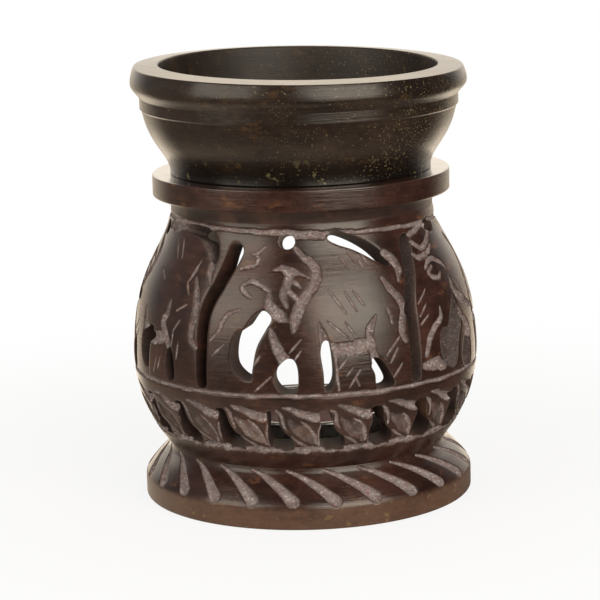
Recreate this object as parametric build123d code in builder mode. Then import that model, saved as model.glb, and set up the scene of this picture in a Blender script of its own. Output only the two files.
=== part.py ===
from build123d import *

import os
from math import cos, radians, sin, sqrt

# An essential oil burner of carved soapstone: a pierced body that stands on its foot, a turned dish that
# rests loose on the body's collar, and a tealight in the well inside, reached through an arched door.
# Lengths are in millimetres. The origin is the centre of the foot's underside and +Z is up. The front panel
# faces -Y and the door +Y. Angles about Z are in degrees from the front, growing towards +X.

# Body, turned outline
body_height = 75.4
foot_radius = 38.2
foot_band_height = 4.8
foot_edge = 0.6
foot_slope_swell = 0.6
waist_radius = 32.2
waist_height = 12.6
belly_radius = 40.0
belly_height = 34.4
neck_radius = 30.1
neck_height = 67.3
neck_flare = 1.0
collar_radius = 34.2
collar_thickness = 5.1
collar_edge = 0.5
# Height risen from waist to belly, and how much of the swelling is reached there
lower_belly_shares = [(0.13, 0.27), (0.29, 0.55), (0.58, 0.86)]
# Height risen from belly to neck, and how much of the narrowing is reached there
upper_belly_shares = [
    (0.18, 0.045), (0.37, 0.155), (0.56, 0.375), (0.68, 0.57), (0.80, 0.785), (0.91, 0.93),
]

# Body, inside
wall = 5.7
floor_thickness = 4.5
well_corner = 6.0
mouth_radius = 24.0

# Door at the back
door_width = 52.0
door_sill = 16.0
door_top = 58.0
door_shoulder = 19.0
door_sill_corner = 4.0

# Carving, shared by the three elephant panels
panel_count = 3
panel_pitch = 73.0
front_panel_angle = 1.0
panel_base = 30.9
panel_top = 65.3
line_width = 1.1
line_depth = 0.6
carving_depth = 1.1
slot_width = 2.9
drill_diameter = 3.4
cut_overrun = 2.0

# Leaf band round the lower belly
leaf_pitch = 17.6
first_leaf_angle = 5.9
leaves_each_side = 7
leaf_top = 28.0
leaf_base = 17.3

# Flutes round the foot
flute_count = 25
flute_turn = 17.5
flute_top = 12.0
flute_base = 5.6
flute_radius = 1.3
flute_tip_radius = 0.25
flute_lift = 0.4

# Dish
dish_height = 24.6
dish_foot_radius = 30.0
dish_foot_step = 1.2
dish_band_radius = 36.5
dish_band_height = 2.9
dish_bead_radius = 38.5
dish_bead_height = 6.7
rim_outer_radius = 37.7
rim_inner_radius = 31.9
rim_edge = 0.6
dish_floor_thickness = 6.4
bowl_foot_radius = 30.0
bowl_corner = 6.5
dish_groove_depth = 0.4
spigot_depth = 4.0
spigot_clearance = 0.8
# Height risen from the foot to the band, and how much of the flare is reached there
dish_flare_shares = [(0.13, 0.10), (0.38, 0.44), (0.70, 0.81)]
# Height risen through the bead, and how much of its bulge is reached there
dish_bead_shares = [(0.14, 0.30), (0.28, 0.62), (0.42, 0.90), (0.55, 1.0), (0.72, 0.93)]

# Tealight
cup_diameter = 38.0
cup_height = 15.0
cup_wall = 0.4
cup_roll_radius = 0.55
cup_base_edge = 1.5
wax_clearance = 0.05
wax_height = 11.4
wax_edge = 0.6
sustainer_diameter = 13.0
sustainer_thickness = 0.5
sustainer_neck_radius = 1.3
sustainer_neck_height = 2.4
wick_radius = 0.7
wick_showing = 5.0
wick_clearance = 0.05

chamber_low_radius = waist_radius - wall
chamber_radius = belly_radius - wall
cut_start = mouth_radius / 2
cut_length = belly_radius + cut_overrun - cut_start


def swell_points(low, middle, high):
    """Points of the belly's curve for the radii at the waist, the belly and the neck, lowest first."""
    rise = belly_height - waist_height
    points = [(low, waist_height)]
    for height_share, radius_share in lower_belly_shares:
        points.append((low + (middle - low) * radius_share, waist_height + rise * height_share))
    points.append((middle, belly_height))
    rise = neck_height - belly_height
    for height_share, radius_share in upper_belly_shares:
        points.append((middle + (high - middle) * radius_share, belly_height + rise * height_share))
    points.append((high, neck_height))
    return points


def outer_radius(height):
    """The radius of the carved surface at a height, straight between the points of its curve."""
    points = swell_points(waist_radius, belly_radius, neck_radius)
    for (r0, z0), (r1, z1) in zip(points, points[1:]):
        if height <= z1:
            return r0 + (r1 - r0) * (height - z0) / (z1 - z0)
    return neck_radius


def facing(angle):
    """The upright plane through the axis that looks outwards at an angle, with its x towards +angle."""
    turn = radians(angle)
    return Plane(origin=(0, 0, 0), x_dir=(cos(turn), sin(turn), 0), z_dir=(sin(turn), -cos(turn), 0))


def on_surface(angle, height, middle):
    """A point of the carved surface, seen square on from the angle middle."""
    return (outer_radius(height) * sin(radians(angle - middle)), height)


def stroke_outline(path, widths):
    """The closed outline of a gouge mark: its path, made as wide at each point as the widths say."""
    left = []
    right = []
    for i, (x, y) in enumerate(path):
        x0, y0 = path[max(i - 1, 0)]
        x1, y1 = path[min(i + 1, len(path) - 1)]
        run = sqrt((x1 - x0) ** 2 + (y1 - y0) ** 2)
        side_x = (y0 - y1) / run * widths[i] / 2
        side_y = (x1 - x0) / run * widths[i] / 2
        left.append((x + side_x, y + side_y))
        right.append((x - side_x, y - side_y))
    return left + right[::-1]


# A panel's places are shares: across from -1 at its left slot to 1 at its right, up from 0 to 1
panel_rise = panel_top - panel_base
slot_path_shares = [
    (0.22, 0.89), (0.19, 0.83), (0.14, 0.74), (0.10, 0.67), (0.05, 0.60), (0.01, 0.51), (0.0, 0.41),
    (0.0, 0.30), (0.0, 0.06),
]
piercing_shares = {
    "trunk_gap": [
        (-0.39, 0.53), (-0.33, 0.48), (-0.38, 0.42), (-0.46, 0.31), (-0.50, 0.16), (-0.51, 0.10),
        (-0.60, 0.11), (-0.69, 0.18), (-0.70, 0.29), (-0.66, 0.39), (-0.56, 0.40), (-0.47, 0.47),
    ],
    "fore_leg_gap": [
        (-0.19, 0.24), (-0.13, 0.23), (-0.10, 0.16), (-0.11, 0.04), (-0.19, 0.01), (-0.27, 0.04),
        (-0.31, 0.11), (-0.27, 0.19),
    ],
    "under_belly_gap": [
        (0.16, 0.35), (0.20, 0.31), (0.22, 0.20), (0.22, 0.09), (0.18, 0.03), (0.13, 0.04), (0.12, 0.15),
        (0.10, 0.27), (0.12, 0.33),
    ],
    "hind_leg_gap": [
        (0.54, 0.19), (0.59, 0.24), (0.65, 0.22), (0.73, 0.11), (0.77, 0.04), (0.72, 0.01), (0.60, 0.02),
        (0.58, 0.11),
    ],
    "back_gap": [
        (0.25, 0.96), (0.31, 1.01), (0.43, 1.00), (0.63, 0.95), (0.79, 0.89), (0.90, 0.82), (0.90, 0.77),
        (0.84, 0.77), (0.76, 0.80), (0.63, 0.85), (0.50, 0.89), (0.36, 0.92),
    ],
}
# Openings cut otherwise than on the front panel, by the panel's place from the left
other_piercing_shares = {
    (0, "back_gap"): [
        (0.34, 0.97), (0.37, 1.01), (0.56, 1.02), (0.78, 1.01), (0.92, 0.97), (0.99, 0.90), (1.01, 0.82),
        (0.93, 0.81), (0.84, 0.87), (0.72, 0.93), (0.56, 0.95),
    ],
    (0, "under_belly_gap"): [
        (0.14, 0.35), (0.24, 0.36), (0.33, 0.35), (0.28, 0.28), (0.26, 0.18), (0.24, 0.08), (0.14, 0.10),
        (0.08, 0.23),
    ],
    (0, "hind_leg_gap"): [
        (0.58, 0.25), (0.64, 0.22), (0.67, 0.13), (0.66, 0.05), (0.58, 0.03), (0.54, 0.10), (0.55, 0.18),
    ],
    (2, "trunk_gap"): [
        (-0.34, 0.49), (-0.29, 0.41), (-0.27, 0.32), (-0.36, 0.21), (-0.43, 0.06), (-0.55, 0.06),
        (-0.66, 0.14), (-0.67, 0.25), (-0.62, 0.32), (-0.52, 0.33), (-0.44, 0.42),
    ],
}
drill_share = (-0.20, 0.95)
# Gouge marks: the path in shares of the panel, and the widths along it in shares of the widest mark
mark_width = 3.0
mark_shares = {
    "ear": (
        [(-0.11, 0.91), (-0.03, 0.86), (0.05, 0.82), (0.10, 0.76), (0.07, 0.69), (-0.01, 0.62),
         (-0.09, 0.55), (-0.12, 0.48), (-0.13, 0.41)],
        [0.30, 0.50, 0.56, 0.58, 0.58, 0.56, 0.52, 0.42, 0.12],
    ),
    "ear_leaf": (
        [(-0.33, 0.78), (-0.24, 0.79), (-0.16, 0.77), (-0.06, 0.76), (0.03, 0.73)],
        [0.12, 0.50, 0.75, 0.25, 0.10],
    ),
    "ear_stem": ([(-0.14, 0.77), (-0.19, 0.70), (-0.22, 0.63), (-0.19, 0.56)], [0.55, 0.55, 0.45, 0.1]),
    "tusk": (
        [(-0.36, 0.64), (-0.36, 0.58), (-0.30, 0.53), (-0.24, 0.50), (-0.20, 0.48)],
        [0.15, 0.60, 0.95, 0.80, 0.30],
    ),
    "fore_leg": ([(-0.34, 0.44), (-0.31, 0.37), (-0.27, 0.30), (-0.22, 0.24)], [0.12, 0.50, 0.75, 0.85]),
    "belly": (
        [(0.22, 0.29), (0.30, 0.29), (0.38, 0.29), (0.45, 0.30), (0.51, 0.31)],
        [0.95, 1.0, 1.0, 1.0, 0.95],
    ),
    "hind_leg": (
        [(0.63, 0.48), (0.57, 0.42), (0.55, 0.35), (0.56, 0.29), (0.58, 0.21)],
        [0.12, 0.55, 0.60, 0.60, 0.55],
    ),
    "rump": ([(0.88, 0.84), (0.95, 0.80), (0.98, 0.74), (0.95, 0.67)], [0.60, 0.62, 0.55, 0.15]),
    "tail": (
        [(0.76, 0.70), (0.82, 0.63), (0.90, 0.56), (0.92, 0.49), (0.89, 0.43), (0.87, 0.37), (0.90, 0.30)],
        [0.12, 0.42, 0.50, 0.50, 0.46, 0.42, 0.35],
    ),
}


def panel_point(share, panel_angle, middle):
    """A place given in shares of the panel at panel_angle, seen square on from the angle middle."""
    across, up = share
    return on_surface(panel_angle + across * panel_pitch / 2, panel_base + up * panel_rise, middle)


def middle_of(shares, panel_angle):
    """The angle of the middle of some places of a panel."""
    low = min(across for across, up in shares)
    high = max(across for across, up in shares)
    return panel_angle + (low + high) / 2 * panel_pitch / 2


panel_angles = [front_panel_angle + (i - (panel_count - 1) / 2) * panel_pitch for i in range(panel_count)]
slot_angles = [panel_angles[0] + (i - 0.5) * panel_pitch for i in range(panel_count + 1)]
leaf_angles = [first_leaf_angle + i * leaf_pitch for i in range(-leaves_each_side, leaves_each_side + 1)]
leaf_rise = leaf_top - leaf_base

# A leaf's places are shares: across in pitches from its opening, up from the band's base to its top
leaf_gap_shares = [
    (-0.11, 0.90), (0.0, 0.95), (0.10, 0.88), (0.15, 0.62), (0.23, 0.45), (0.38, 0.28), (0.36, 0.08),
    (0.10, 0.05), (-0.08, 0.08), (-0.12, 0.36), (-0.09, 0.60),
]
leaf_mark_shares = {
    "fin": ([(0.29, 1.0), (0.50, 0.95), (0.70, 0.88), (0.86, 0.80)], [0.05, 0.35, 0.60, 0.80]),
    "leaf_back": (
        [(0.14, 0.88), (0.30, 0.83), (0.50, 0.74), (0.65, 0.62), (0.75, 0.46), (0.80, 0.26), (0.78, 0.16)],
        [0.35, 0.42, 0.40, 0.45, 0.48, 0.35, 0.10],
    ),
    "ground": ([(0.45, 0.22), (0.62, 0.12), (0.86, 0.06)], [0.45, 0.62, 0.30]),
}


def foot_slope_radius(height):
    """The radius of the foot's slope at a height: straight from band to waist, and swollen in between."""
    risen = (height - foot_band_height) / (waist_height - foot_band_height)
    return foot_radius + (waist_radius - foot_radius) * risen + 4 * foot_slope_swell * risen * (1 - risen)


def around(radius, angle, height):
    """The point at a radius, an angle from the front and a height."""
    return Vector(radius * sin(radians(angle)), -radius * cos(radians(angle)), height)


# A flute's cutter is a pointed rod with a round end, turned about its own length and laid down the slope
flute_start = around(foot_slope_radius(flute_top) + flute_lift, -flute_turn / 2, flute_top)
flute_end = around(foot_slope_radius(flute_base) + flute_lift, flute_turn / 2, flute_base)
flute_way = flute_end - flute_start
flute_length = flute_way.length
with BuildPart() as flute:
    with BuildSketch(Plane(origin=flute_start, x_dir=flute_way, z_dir=flute_way.cross(Vector(0, 0, 1)))):
        with BuildLine():
            Polyline(
                (flute_length + flute_radius, 0), (0, 0), (0, flute_tip_radius), (flute_length, flute_radius)
            )
            RadiusArc((flute_length, flute_radius), (flute_length + flute_radius, 0), flute_radius)
        make_face()
    revolve(axis=Axis(flute_start, flute_way))

# The marks' cutter: every mark standing out from the wall, kept only within the depth of the carving
with BuildPart() as skin:
    with BuildSketch(Plane.XZ):
        with BuildLine():
            Spline(
                *swell_points(
                    waist_radius - carving_depth, belly_radius - carving_depth, neck_radius - carving_depth
                ),
                tangents=[(1, 1), (0, 1)],
            )
            Polyline(
                (neck_radius - carving_depth, neck_height),
                (belly_radius + cut_overrun, neck_height),
                (belly_radius + cut_overrun, waist_height),
                (waist_radius - carving_depth, waist_height),
            )
        make_face()
    revolve(axis=Axis.Z)

with BuildPart() as carving:
    for panel_angle in panel_angles:
        for path_shares, width_shares in mark_shares.values():
            middle = middle_of(path_shares, panel_angle)
            path = [panel_point(share, panel_angle, middle) for share in path_shares]
            with BuildSketch(facing(middle).offset(cut_start)):
                with BuildLine():
                    Polyline(*stroke_outline(path, [mark_width * w for w in width_shares]), close=True)
                make_face()
            extrude(amount=cut_length)
    for leaf_angle in leaf_angles:
        for path_shares, width_shares in leaf_mark_shares.values():
            path = [
                on_surface(leaf_angle + across * leaf_pitch, leaf_base + up * leaf_rise, leaf_angle)
                for across, up in path_shares
            ]
            with BuildSketch(facing(leaf_angle).offset(cut_start)):
                with BuildLine():
                    Polyline(*stroke_outline(path, [mark_width * w for w in width_shares]), close=True)
                make_face()
            extrude(amount=cut_length)
    add(skin.part, mode=Mode.INTERSECT)

# The turned blank of the body: its outline outside, then the chamber, well and mouth inside
collar_underside = body_height - collar_thickness
foot_slope_middle = (
    (foot_radius + waist_radius) / 2 + foot_slope_swell,
    (foot_band_height + waist_height) / 2,
)
with BuildPart() as body:
    with BuildSketch(Plane.XZ):
        with BuildLine():
            Line((0, 0), (foot_radius - foot_edge, 0))
            Line((foot_radius - foot_edge, 0), (foot_radius, foot_edge))
            Line((foot_radius, foot_edge), (foot_radius, foot_band_height))
            ThreePointArc((foot_radius, foot_band_height), foot_slope_middle, (waist_radius, waist_height))
            Spline(*swell_points(waist_radius, belly_radius, neck_radius), tangents=[(1, 1), (0, 1)])
            Polyline(
                (neck_radius, neck_height),
                (neck_radius + neck_flare, collar_underside),
                (collar_radius - collar_edge, collar_underside),
                (collar_radius, collar_underside + collar_edge),
                (collar_radius, body_height - collar_edge),
                (collar_radius - collar_edge, body_height),
                (0, body_height),
                (0, 0),
            )
        make_face()
    revolve(axis=Axis.Z)

    with BuildSketch(Plane.XZ):
        with BuildLine():
            Line((0, floor_thickness), (chamber_low_radius - well_corner, floor_thickness))
            RadiusArc(
                (chamber_low_radius - well_corner, floor_thickness),
                (chamber_low_radius, floor_thickness + well_corner),
                -well_corner,
            )
            Line((chamber_low_radius, floor_thickness + well_corner), (chamber_low_radius, waist_height))
            Spline(
                *swell_points(chamber_low_radius, chamber_radius, mouth_radius), tangents=[(0, 1), (0, 1)]
            )
            Polyline(
                (mouth_radius, neck_height),
                (mouth_radius, body_height + cut_overrun),
                (0, body_height + cut_overrun),
                (0, floor_thickness),
            )
        make_face()
    revolve(axis=Axis.Z, mode=Mode.SUBTRACT)

    # The two lines cut on the lathe, above and below the panels
    for line_height in (panel_base, panel_top):
        surface = outer_radius(line_height)
        with BuildSketch(Plane.XZ):
            with BuildLine():
                Polyline(
                    (surface - line_depth, line_height),
                    (surface + line_depth, line_height - line_width),
                    (surface + line_depth, line_height + line_width),
                    close=True,
                )
            make_face()
        revolve(axis=Axis.Z, mode=Mode.SUBTRACT)

    # The door
    with BuildSketch(Plane.XZ):
        with Locations((0, (door_sill + door_top) / 2)):
            Rectangle(door_width, door_top - door_sill)
        fillet(vertices().group_by(Axis.Y)[-1], door_shoulder)
        fillet(vertices().group_by(Axis.Y)[0], door_sill_corner)
    extrude(amount=-(belly_radius + cut_overrun), mode=Mode.SUBTRACT)

    # Each elephant's openings, pierced square to the wall at their own middles
    for place, panel_angle in enumerate(panel_angles):
        for name, usual_shares in piercing_shares.items():
            shares = other_piercing_shares.get((place, name), usual_shares)
            middle = middle_of(shares, panel_angle)
            with BuildSketch(facing(middle).offset(cut_start)):
                with BuildLine():
                    Spline(*[panel_point(share, panel_angle, middle) for share in shares], periodic=True)
                make_face()
            extrude(amount=cut_length, mode=Mode.SUBTRACT)
        middle = panel_angle + drill_share[0] * panel_pitch / 2
        with BuildSketch(facing(middle).offset(cut_start)):
            with Locations(panel_point(drill_share, panel_angle, middle)):
                Circle(drill_diameter / 2)
        extrude(amount=cut_length, mode=Mode.SUBTRACT)

    # The slots between the panels
    for slot_angle in slot_angles:
        path = [
            on_surface(slot_angle + across * panel_pitch / 2, panel_base + up * panel_rise, slot_angle)
            for across, up in slot_path_shares
        ]
        with BuildSketch(facing(slot_angle).offset(cut_start)):
            with BuildLine():
                Polyline(*stroke_outline(path, [slot_width] * len(path)), close=True)
            make_face()
            with Locations(path[0], path[-1]):
                Circle(slot_width / 2)
        extrude(amount=cut_length, mode=Mode.SUBTRACT)

    # The leaf band's openings
    for leaf_angle in leaf_angles:
        outline = [
            on_surface(leaf_angle + across * leaf_pitch, leaf_base + up * leaf_rise, leaf_angle)
            for across, up in leaf_gap_shares
        ]
        with BuildSketch(facing(leaf_angle).offset(cut_start)):
            with BuildLine():
                Spline(*outline, periodic=True)
            make_face()
        extrude(amount=cut_length, mode=Mode.SUBTRACT)

    # The flutes: one pointed gouge, laid along the slope of the foot and repeated round it
    with PolarLocations(0, flute_count):
        add(flute.part, mode=Mode.SUBTRACT)

    # The gouge marks, all sunk to the same depth below the surface
    add(carving.part, mode=Mode.SUBTRACT)
body.part.label = "body"

# The dish: a spigot that drops into the body's mouth, a flared bowl, a band and a beaded rim
spigot_radius = mouth_radius - spigot_clearance
rim_top = body_height + dish_height
bead_base = rim_top - dish_bead_height
band_base = bead_base - dish_band_height
flare_base = body_height + dish_foot_step
flare_top_radius = dish_band_radius - dish_groove_depth
dish_floor = body_height + dish_floor_thickness
flare_points = [(dish_foot_radius, flare_base)]
for height_share, radius_share in dish_flare_shares:
    flare_points.append((
        dish_foot_radius + (flare_top_radius - dish_foot_radius) * radius_share,
        flare_base + (band_base - flare_base) * height_share,
    ))
flare_points.append((flare_top_radius, band_base))
bead_points = [(dish_band_radius, bead_base)]
for height_share, radius_share in dish_bead_shares:
    bead_points.append((
        dish_band_radius + (dish_bead_radius - dish_band_radius) * radius_share,
        bead_base + dish_bead_height * height_share,
    ))
bead_points.append((rim_outer_radius, rim_top - rim_edge))
with BuildPart() as dish:
    with BuildSketch(Plane.XZ):
        with BuildLine():
            Polyline(
                (0, dish_floor),
                (0, body_height - spigot_depth),
                (spigot_radius - rim_edge, body_height - spigot_depth),
                (spigot_radius, body_height - spigot_depth + rim_edge),
                (spigot_radius, body_height),
                (dish_foot_radius, body_height),
                (dish_foot_radius, flare_base),
            )
            Spline(*flare_points)
            Polyline(
                (flare_top_radius, band_base),
                (dish_band_radius, band_base + dish_groove_depth),
                (dish_band_radius, bead_base),
            )
            Spline(*bead_points)
            Polyline(
                (rim_outer_radius, rim_top - rim_edge),
                (rim_outer_radius - rim_edge, rim_top),
                (rim_inner_radius + rim_edge, rim_top),
                (rim_inner_radius, rim_top - rim_edge),
                (bowl_foot_radius, dish_floor + bowl_corner),
            )
            RadiusArc(
                (bowl_foot_radius, dish_floor + bowl_corner),
                (bowl_foot_radius - bowl_corner, dish_floor),
                bowl_corner,
            )
            Line((bowl_foot_radius - bowl_corner, dish_floor), (0, dish_floor))
        make_face()
    revolve(axis=Axis.Z)
dish.part.label = "dish"

# The tealight: a pressed cup with a rolled lip, wax, and a wick held upright by a tinned sustainer
cup_side_radius = cup_diameter / 2 - cup_roll_radius
cup_outer_radius = cup_side_radius + cup_wall / 2
cup_inner_radius = cup_side_radius - cup_wall / 2
cup_lip = floor_thickness + cup_height - cup_roll_radius
with BuildPart() as tealight_cup:
    with BuildSketch(Plane.XZ):
        with BuildLine():
            Polyline(
                (0, floor_thickness),
                (cup_outer_radius - cup_base_edge, floor_thickness),
                (cup_outer_radius, floor_thickness + cup_base_edge),
                (cup_outer_radius, cup_lip),
                (cup_inner_radius, cup_lip),
                (cup_inner_radius, floor_thickness + cup_base_edge + cup_wall / 2),
                (cup_inner_radius - cup_base_edge + cup_wall / 2, floor_thickness + cup_wall),
                (0, floor_thickness + cup_wall),
                close=True,
            )
        make_face()
        with Locations((cup_side_radius, cup_lip)):
            Circle(cup_roll_radius)
    revolve(axis=Axis.Z)
tealight_cup.part.label = "tealight_cup"

sustainer_base = floor_thickness + cup_wall
sustainer_top = sustainer_base + sustainer_thickness + sustainer_neck_height
wick_base = sustainer_base + sustainer_thickness
wax_base = sustainer_base + wax_clearance
wax_top = wax_base + wax_height
wax_radius = cup_inner_radius - wax_clearance
wick_hole_radius = wick_radius + wick_clearance
with BuildPart() as wick_sustainer:
    with BuildSketch(Plane.XY.offset(sustainer_base)):
        Circle(sustainer_diameter / 2)
    extrude(amount=sustainer_thickness)
    with BuildSketch(Plane.XY.offset(wick_base)):
        Circle(sustainer_neck_radius)
        Circle(wick_hole_radius, mode=Mode.SUBTRACT)
    extrude(amount=sustainer_neck_height)
wick_sustainer.part.label = "wick_sustainer"

with BuildPart() as wick:
    with BuildSketch(Plane.XY.offset(wick_base)):
        Circle(wick_radius)
    extrude(amount=wax_top + wick_showing - wick_base)
wick.part.label = "wick"

with BuildPart() as tealight_wax:
    with BuildSketch(Plane.XZ):
        with BuildLine():
            Polyline(
                (sustainer_diameter / 2 + wax_clearance, wax_base),
                (wax_radius - cup_base_edge, wax_base),
                (wax_radius, wax_base + cup_base_edge),
                (wax_radius, wax_top - wax_edge),
                (wax_radius - wax_edge, wax_top),
                (wick_hole_radius, wax_top),
                (wick_hole_radius, sustainer_top + wax_clearance),
                (sustainer_neck_radius + wax_clearance, sustainer_top + wax_clearance),
                (sustainer_neck_radius + wax_clearance, wick_base + wax_clearance),
                (sustainer_diameter / 2 + wax_clearance, wick_base + wax_clearance),
                close=True,
            )
        make_face()
    revolve(axis=Axis.Z)
tealight_wax.part.label = "tealight_wax"

os.makedirs("parts", exist_ok=True)
for piece in (body, dish, tealight_cup, tealight_wax, wick, wick_sustainer):
    export_step(piece.part, f"parts/{piece.part.label}.step")
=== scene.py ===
from collections import namedtuple
from math import ceil, cos, pi, radians, sin

import bpy
import numpy as np
from mathutils import Matrix, Vector


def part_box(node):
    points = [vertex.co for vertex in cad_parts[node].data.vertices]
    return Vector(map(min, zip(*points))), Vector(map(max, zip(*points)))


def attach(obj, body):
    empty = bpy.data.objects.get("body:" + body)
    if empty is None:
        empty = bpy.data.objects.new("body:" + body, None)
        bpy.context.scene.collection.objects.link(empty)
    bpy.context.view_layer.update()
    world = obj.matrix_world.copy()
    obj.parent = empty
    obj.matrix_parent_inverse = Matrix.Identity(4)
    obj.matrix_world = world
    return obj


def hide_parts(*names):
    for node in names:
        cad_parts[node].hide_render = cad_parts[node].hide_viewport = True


# The looks of a carved soapstone oil burner. Sizes are in millimetres and angles in degrees until a mesh is
# written. Angles about Z are counted from the front, which faces -Y, and grow towards +X. The pierced wall is
# worked out on a grid of angle and height; the foot, collar and dish are profiles turned round Z.
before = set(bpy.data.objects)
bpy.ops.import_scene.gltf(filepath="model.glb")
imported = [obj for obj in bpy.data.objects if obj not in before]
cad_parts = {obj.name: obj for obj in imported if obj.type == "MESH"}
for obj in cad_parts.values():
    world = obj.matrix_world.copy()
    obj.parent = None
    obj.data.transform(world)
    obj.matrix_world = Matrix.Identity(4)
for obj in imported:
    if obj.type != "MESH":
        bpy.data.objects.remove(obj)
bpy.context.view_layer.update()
MM = 0.001

# Sizes of the body, its wall and its openings
body_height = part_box("body")[1].z / MM
foot_radius = 38.2
foot_band_height = 4.8
foot_edge = 0.6
foot_slope_shares = [
    (0, 0), (0.06, 0.20), (0.18, 0.30), (0.40, 0.20), (0.62, -0.05), (0.80, -0.40), (0.91, -0.40), (1, 0),
]
foot_slope_rows = 44
band_ease = 0.3
waist_radius = 32.2
waist_height = 12.6
belly_radius = 40.0
belly_height = 34.4
neck_radius = 30.1
neck_height = 67.3
neck_flare = 1.0
neck_ease = 1.6
neck_ease_share = 0.25
neck_corner = 0.5
collar_radius = 34.2
collar_thickness = 5.1
collar_edge = 0.5
wall = 5.7
floor_thickness = 4.5
well_corner = 6.0
mouth_radius = 24.0
lower_belly_shares = [(0.13, 0.27), (0.29, 0.55), (0.58, 0.86)]
upper_belly_shares = [
    (0.18, 0.045), (0.37, 0.155), (0.56, 0.375), (0.68, 0.57), (0.80, 0.785), (0.91, 0.93),
]
door_width = 52.0
door_sill = 16.0
door_top = 58.0
door_shoulder = 19.0
door_sill_corner = 4.0
door_facing = 180.0
door_corner_steps = 14
door_step = 1.0

# Sizes of the carving
panel_pitch = 73.0
panel_angles = (-72.0, 1.0, 74.0)
panel_base = 30.9
panel_top = 65.3
panel_rise = panel_top - panel_base
slot_angles = (-108.5, -35.5, 37.5, 110.5)
slot_width = 2.9
slot_end_corners = 9
line_width = 1.0
line_depth = 0.6
line_lean = 0.85
line_swell = 0.22
line_swell_angle = -8.0
line_swell_turn = 13.0
line_dust = 0.78
drill_diameter = 3.4
drill_corners = 24
mark_width = 3.0
mark_depth = 1.1
fine_depth = 0.5
fine_dust = 0.9
hatch_depth = 0.25
leaf_line_depth = 0.7
hollow_depth = 0.5
usual_radius = 36.0
leaf_pitch = 17.6
first_leaf_angle = 5.9
leaves_each_side = 7
leaf_top = 28.0
leaf_base = 17.3
leaf_rise = leaf_top - leaf_base
# The ragged foot of the leaf band
ragged_width = 0.92
ragged_depth = 0.25
ragged_dust = 0.8
flute_count = 25
flute_turn = 17.5
# A flute's middle line: across in shares of its turn, height, and the width there
flute_shares = [(-0.50, 12.0, 0.5), (-0.22, 11.0, 1.0), (0.10, 9.4, 1.7), (0.34, 7.7, 2.3), (0.50, 6.2, 2.9)]
flute_depth_share = 0.75
flute_roundness = 2.5
flute_dust_depth = 0.12

# Sizes of the dish
spigot_depth = 4.0
spigot_room = 0.8
spigot_radius = mouth_radius - spigot_room
dish_foot_radius = 30.0
dish_foot_step = 1.2
dish_foot_corner = 0.3
dish_band_radius = 36.5
dish_band_height = 2.9
dish_groove_depth = 0.4
dish_groove_corner = 0.15
dish_bead_radius = 38.5
dish_bead_height = 6.7
dish_flare_shares = [(0.13, 0.10), (0.38, 0.44), (0.70, 0.81)]
dish_bead_shares = [(0.12, 0.34), (0.24, 0.70), (0.35, 0.94), (0.45, 1.0), (0.66, 0.90)]
flare_rows = 40
bead_rows = 30
rim_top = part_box("dish")[1].z / MM
rim_outer_radius = 37.7
rim_inner_radius = 31.9
rim_edge = 0.6
rim_corner = 0.4
rim_crown = 0.45
rim_crown_share = 0.6
dish_floor_rise = 6.4
dish_floor = body_height + dish_floor_rise
bowl_foot_radius = 30.0
bowl_corner = 6.5
# How the hand-made dish leans, and how its rim was cut to lean further
dish_lean = 1.4
dish_side_lean = 0.3
rim_side_lean = 0.85
rim_lift = 0.68
rim_lift_power = 5

# How finely the wall is worked out, how far its cuts reach inside, and how their edges are worn
cell = 0.24
snap_reach = 0.17
seam_reach = 0.5
cut_reach = 12.0
cut_fade = 2.5
cut_fade_share = 1.6
bore_rounds = 8
least_closing = 0.35
tiny = 1e-9
margin = 0.1
border_ease = 1.5
lip_width = 0.45
lip_depth = 0.14
lip_dust = 0.25
satin_ease = 1.0
# Dust: in the less polished bowl and neck, inside the wall and in its cuts
dish_satin = 0.12
neck_satin = 0.11
inside_dust = 0.20
cut_dust = 0.24
slot_dusts = (0.18, 0.13, 0.36, 0.18)

# How a gouge differs from an even one: shares of its width and depth that waver and chatter, each at a pace
# and from a seed, the width it has at least and the half width at which it is full deep, and how far its
# dust spreads and fades
gouge_waver = (0.9, 1.0)
gouge_chatter = (2.4, 4.0)
width_waver = 0.14
width_chatter = 0.07
depth_chatter = 0.16
gouge_roundness = 2.2
least_half = 0.03
deep_half = 0.75
dust_spread = 0.08
dust_fade = 0.20
gouge_dust = 0.80
gouge_dust_waver = 0.22
# How the turned lines waver round the wall: how far, how fast and from which seed
line_waver = (0.10, 0.3, 6.0)
line_width_waver = (0.14, 0.5, 2.0)
line_dust_waver = (0.24, 0.55, 9.0)
ragged_waver = (0.35, 0.5, 5.0)
ragged_chatter = (0.10, 2.3, 8.0)
ragged_width_waver = (0.30, 0.8, 3.0)


# Curves

def through(knots, values, places):
    """A curve of steady bend through the values at the knots: a cubic on each run, whose second derivatives
    at the knots come from one set of equations, with none at the two ends."""
    run = np.diff(knots)
    climb = np.diff(values) / run
    count = len(knots)
    row = np.arange(1, count - 1)
    system = np.eye(count)
    system[row, row - 1] = run[:-1]
    system[row, row] = 2 * (run[:-1] + run[1:])
    system[row, row + 1] = run[1:]
    right = np.zeros(count)
    right[1:-1] = 6 * np.diff(climb)
    bend = np.linalg.solve(system, right)
    leg = np.clip(np.searchsorted(knots, places) - 1, 0, count - 2)
    length = run[leg]
    before = places - knots[leg]
    after = knots[leg + 1] - places
    curved = (bend[leg] * after**3 + bend[leg + 1] * before**3) / (6 * length)
    low = (values[leg] / length - bend[leg] * length / 6) * after
    high = (values[leg + 1] / length - bend[leg + 1] * length / 6) * before
    return curved + low + high


curve_steps = 6


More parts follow.
